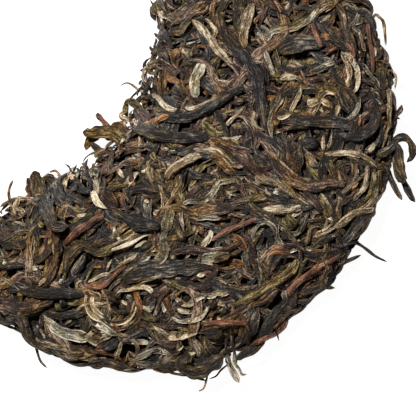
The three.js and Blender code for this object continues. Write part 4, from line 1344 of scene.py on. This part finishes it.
def build_floor():
    """A plain pale table top that glows, so that the cake stands on near white as in the picture."""
    corners = [(x * FLOOR_REACH, y * FLOOR_REACH, 0) for x, y in ((-1, -1), (1, -1), (1, 1), (-1, 1))]
    mesh = bpy.data.meshes.new("floor")
    mesh.from_pydata(corners, [], [(0, 1, 2, 3)])
    nodes = Nodes("pale_floor")
    nodes.surface(
        Base_Color=(0.3, 0.3, 0.3, 1), Roughness=0.9, Emission_Color=(1, 1, 1, 1),
        Emission_Strength=FLOOR_GLOW)
    mesh.materials.append(nodes.material)
    floor = placed("floor", mesh)


def build_lights():
    """A large soft key from the picture's upper left, and an even pale surround."""
    right, up, near = KEY_FROM
    toward = right * VIEW_RIGHT + up * VIEW_UP + near * TO_EYE
    toward = Vector(toward / np.linalg.norm(toward))
    light = bpy.data.lights.new("key", "AREA")
    light.shape = "DISK"
    light.size = KEY_SIZE
    light.energy = KEY_POWER
    key = placed("key", light)
    key.location = toward * KEY_DISTANCE
    key.rotation_mode = "QUATERNION"
    key.rotation_quaternion = toward.to_track_quat("Z", "Y")
    world = bpy.data.worlds.new("surround")
    bpy.context.scene.world = world
    world.use_nodes = True
    background = world.node_tree.nodes["Background"]
    background.inputs["Color"].default_value = (1, 1, 1, 1)
    background.inputs["Strength"].default_value = SURROUND_LIGHT


def build_camera():
    """The reference view."""
    camera = bpy.data.cameras.new("camera")
    camera.sensor_width = SENSOR_WIDTH
    camera.lens = VIEW_FOCAL / PICTURE_SIZE * SENSOR_WIDTH
    camera.clip_start, camera.clip_end = 0.01, 20
    holder = placed("camera", camera)
    turn = Matrix([[VIEW_RIGHT[k], VIEW_UP[k], TO_EYE[k]] for k in range(3)]).to_4x4()
    holder.matrix_world = Matrix.Translation(Vector((EYE + CAKE_CENTRE) / 1000)) @ turn
    bpy.context.scene.camera = holder
    bpy.context.scene.view_settings.view_transform = "Standard"


TRIANGLES_PER_PIECE = 150000


def build_leaves():
    """Every leaf, gathered into pieces by tone, each piece with a limit to its triangles."""
    leaves = upper_leaves() + foot_leaves() + stray_leaves()
    for tone in PALETTE:
        material = leaf_material(tone)
        group, size, number = [], 0, 1
        same = [leaf for leaf in leaves if leaf.tone == tone]
        for leaf in same:
            cost = 2 * len(leaf.path) * leaf.sides
            if size + cost > TRIANGLES_PER_PIECE:
                build_piece(f"{tone}_leaves_{number}", group, material)
                group, size, number = [], 0, number + 1
            group.append(leaf)
            size += cost
        build_piece(f"{tone}_leaves_{number}", group, material)


build_core()
build_leaves()
build_floor()
build_lights()
build_camera()
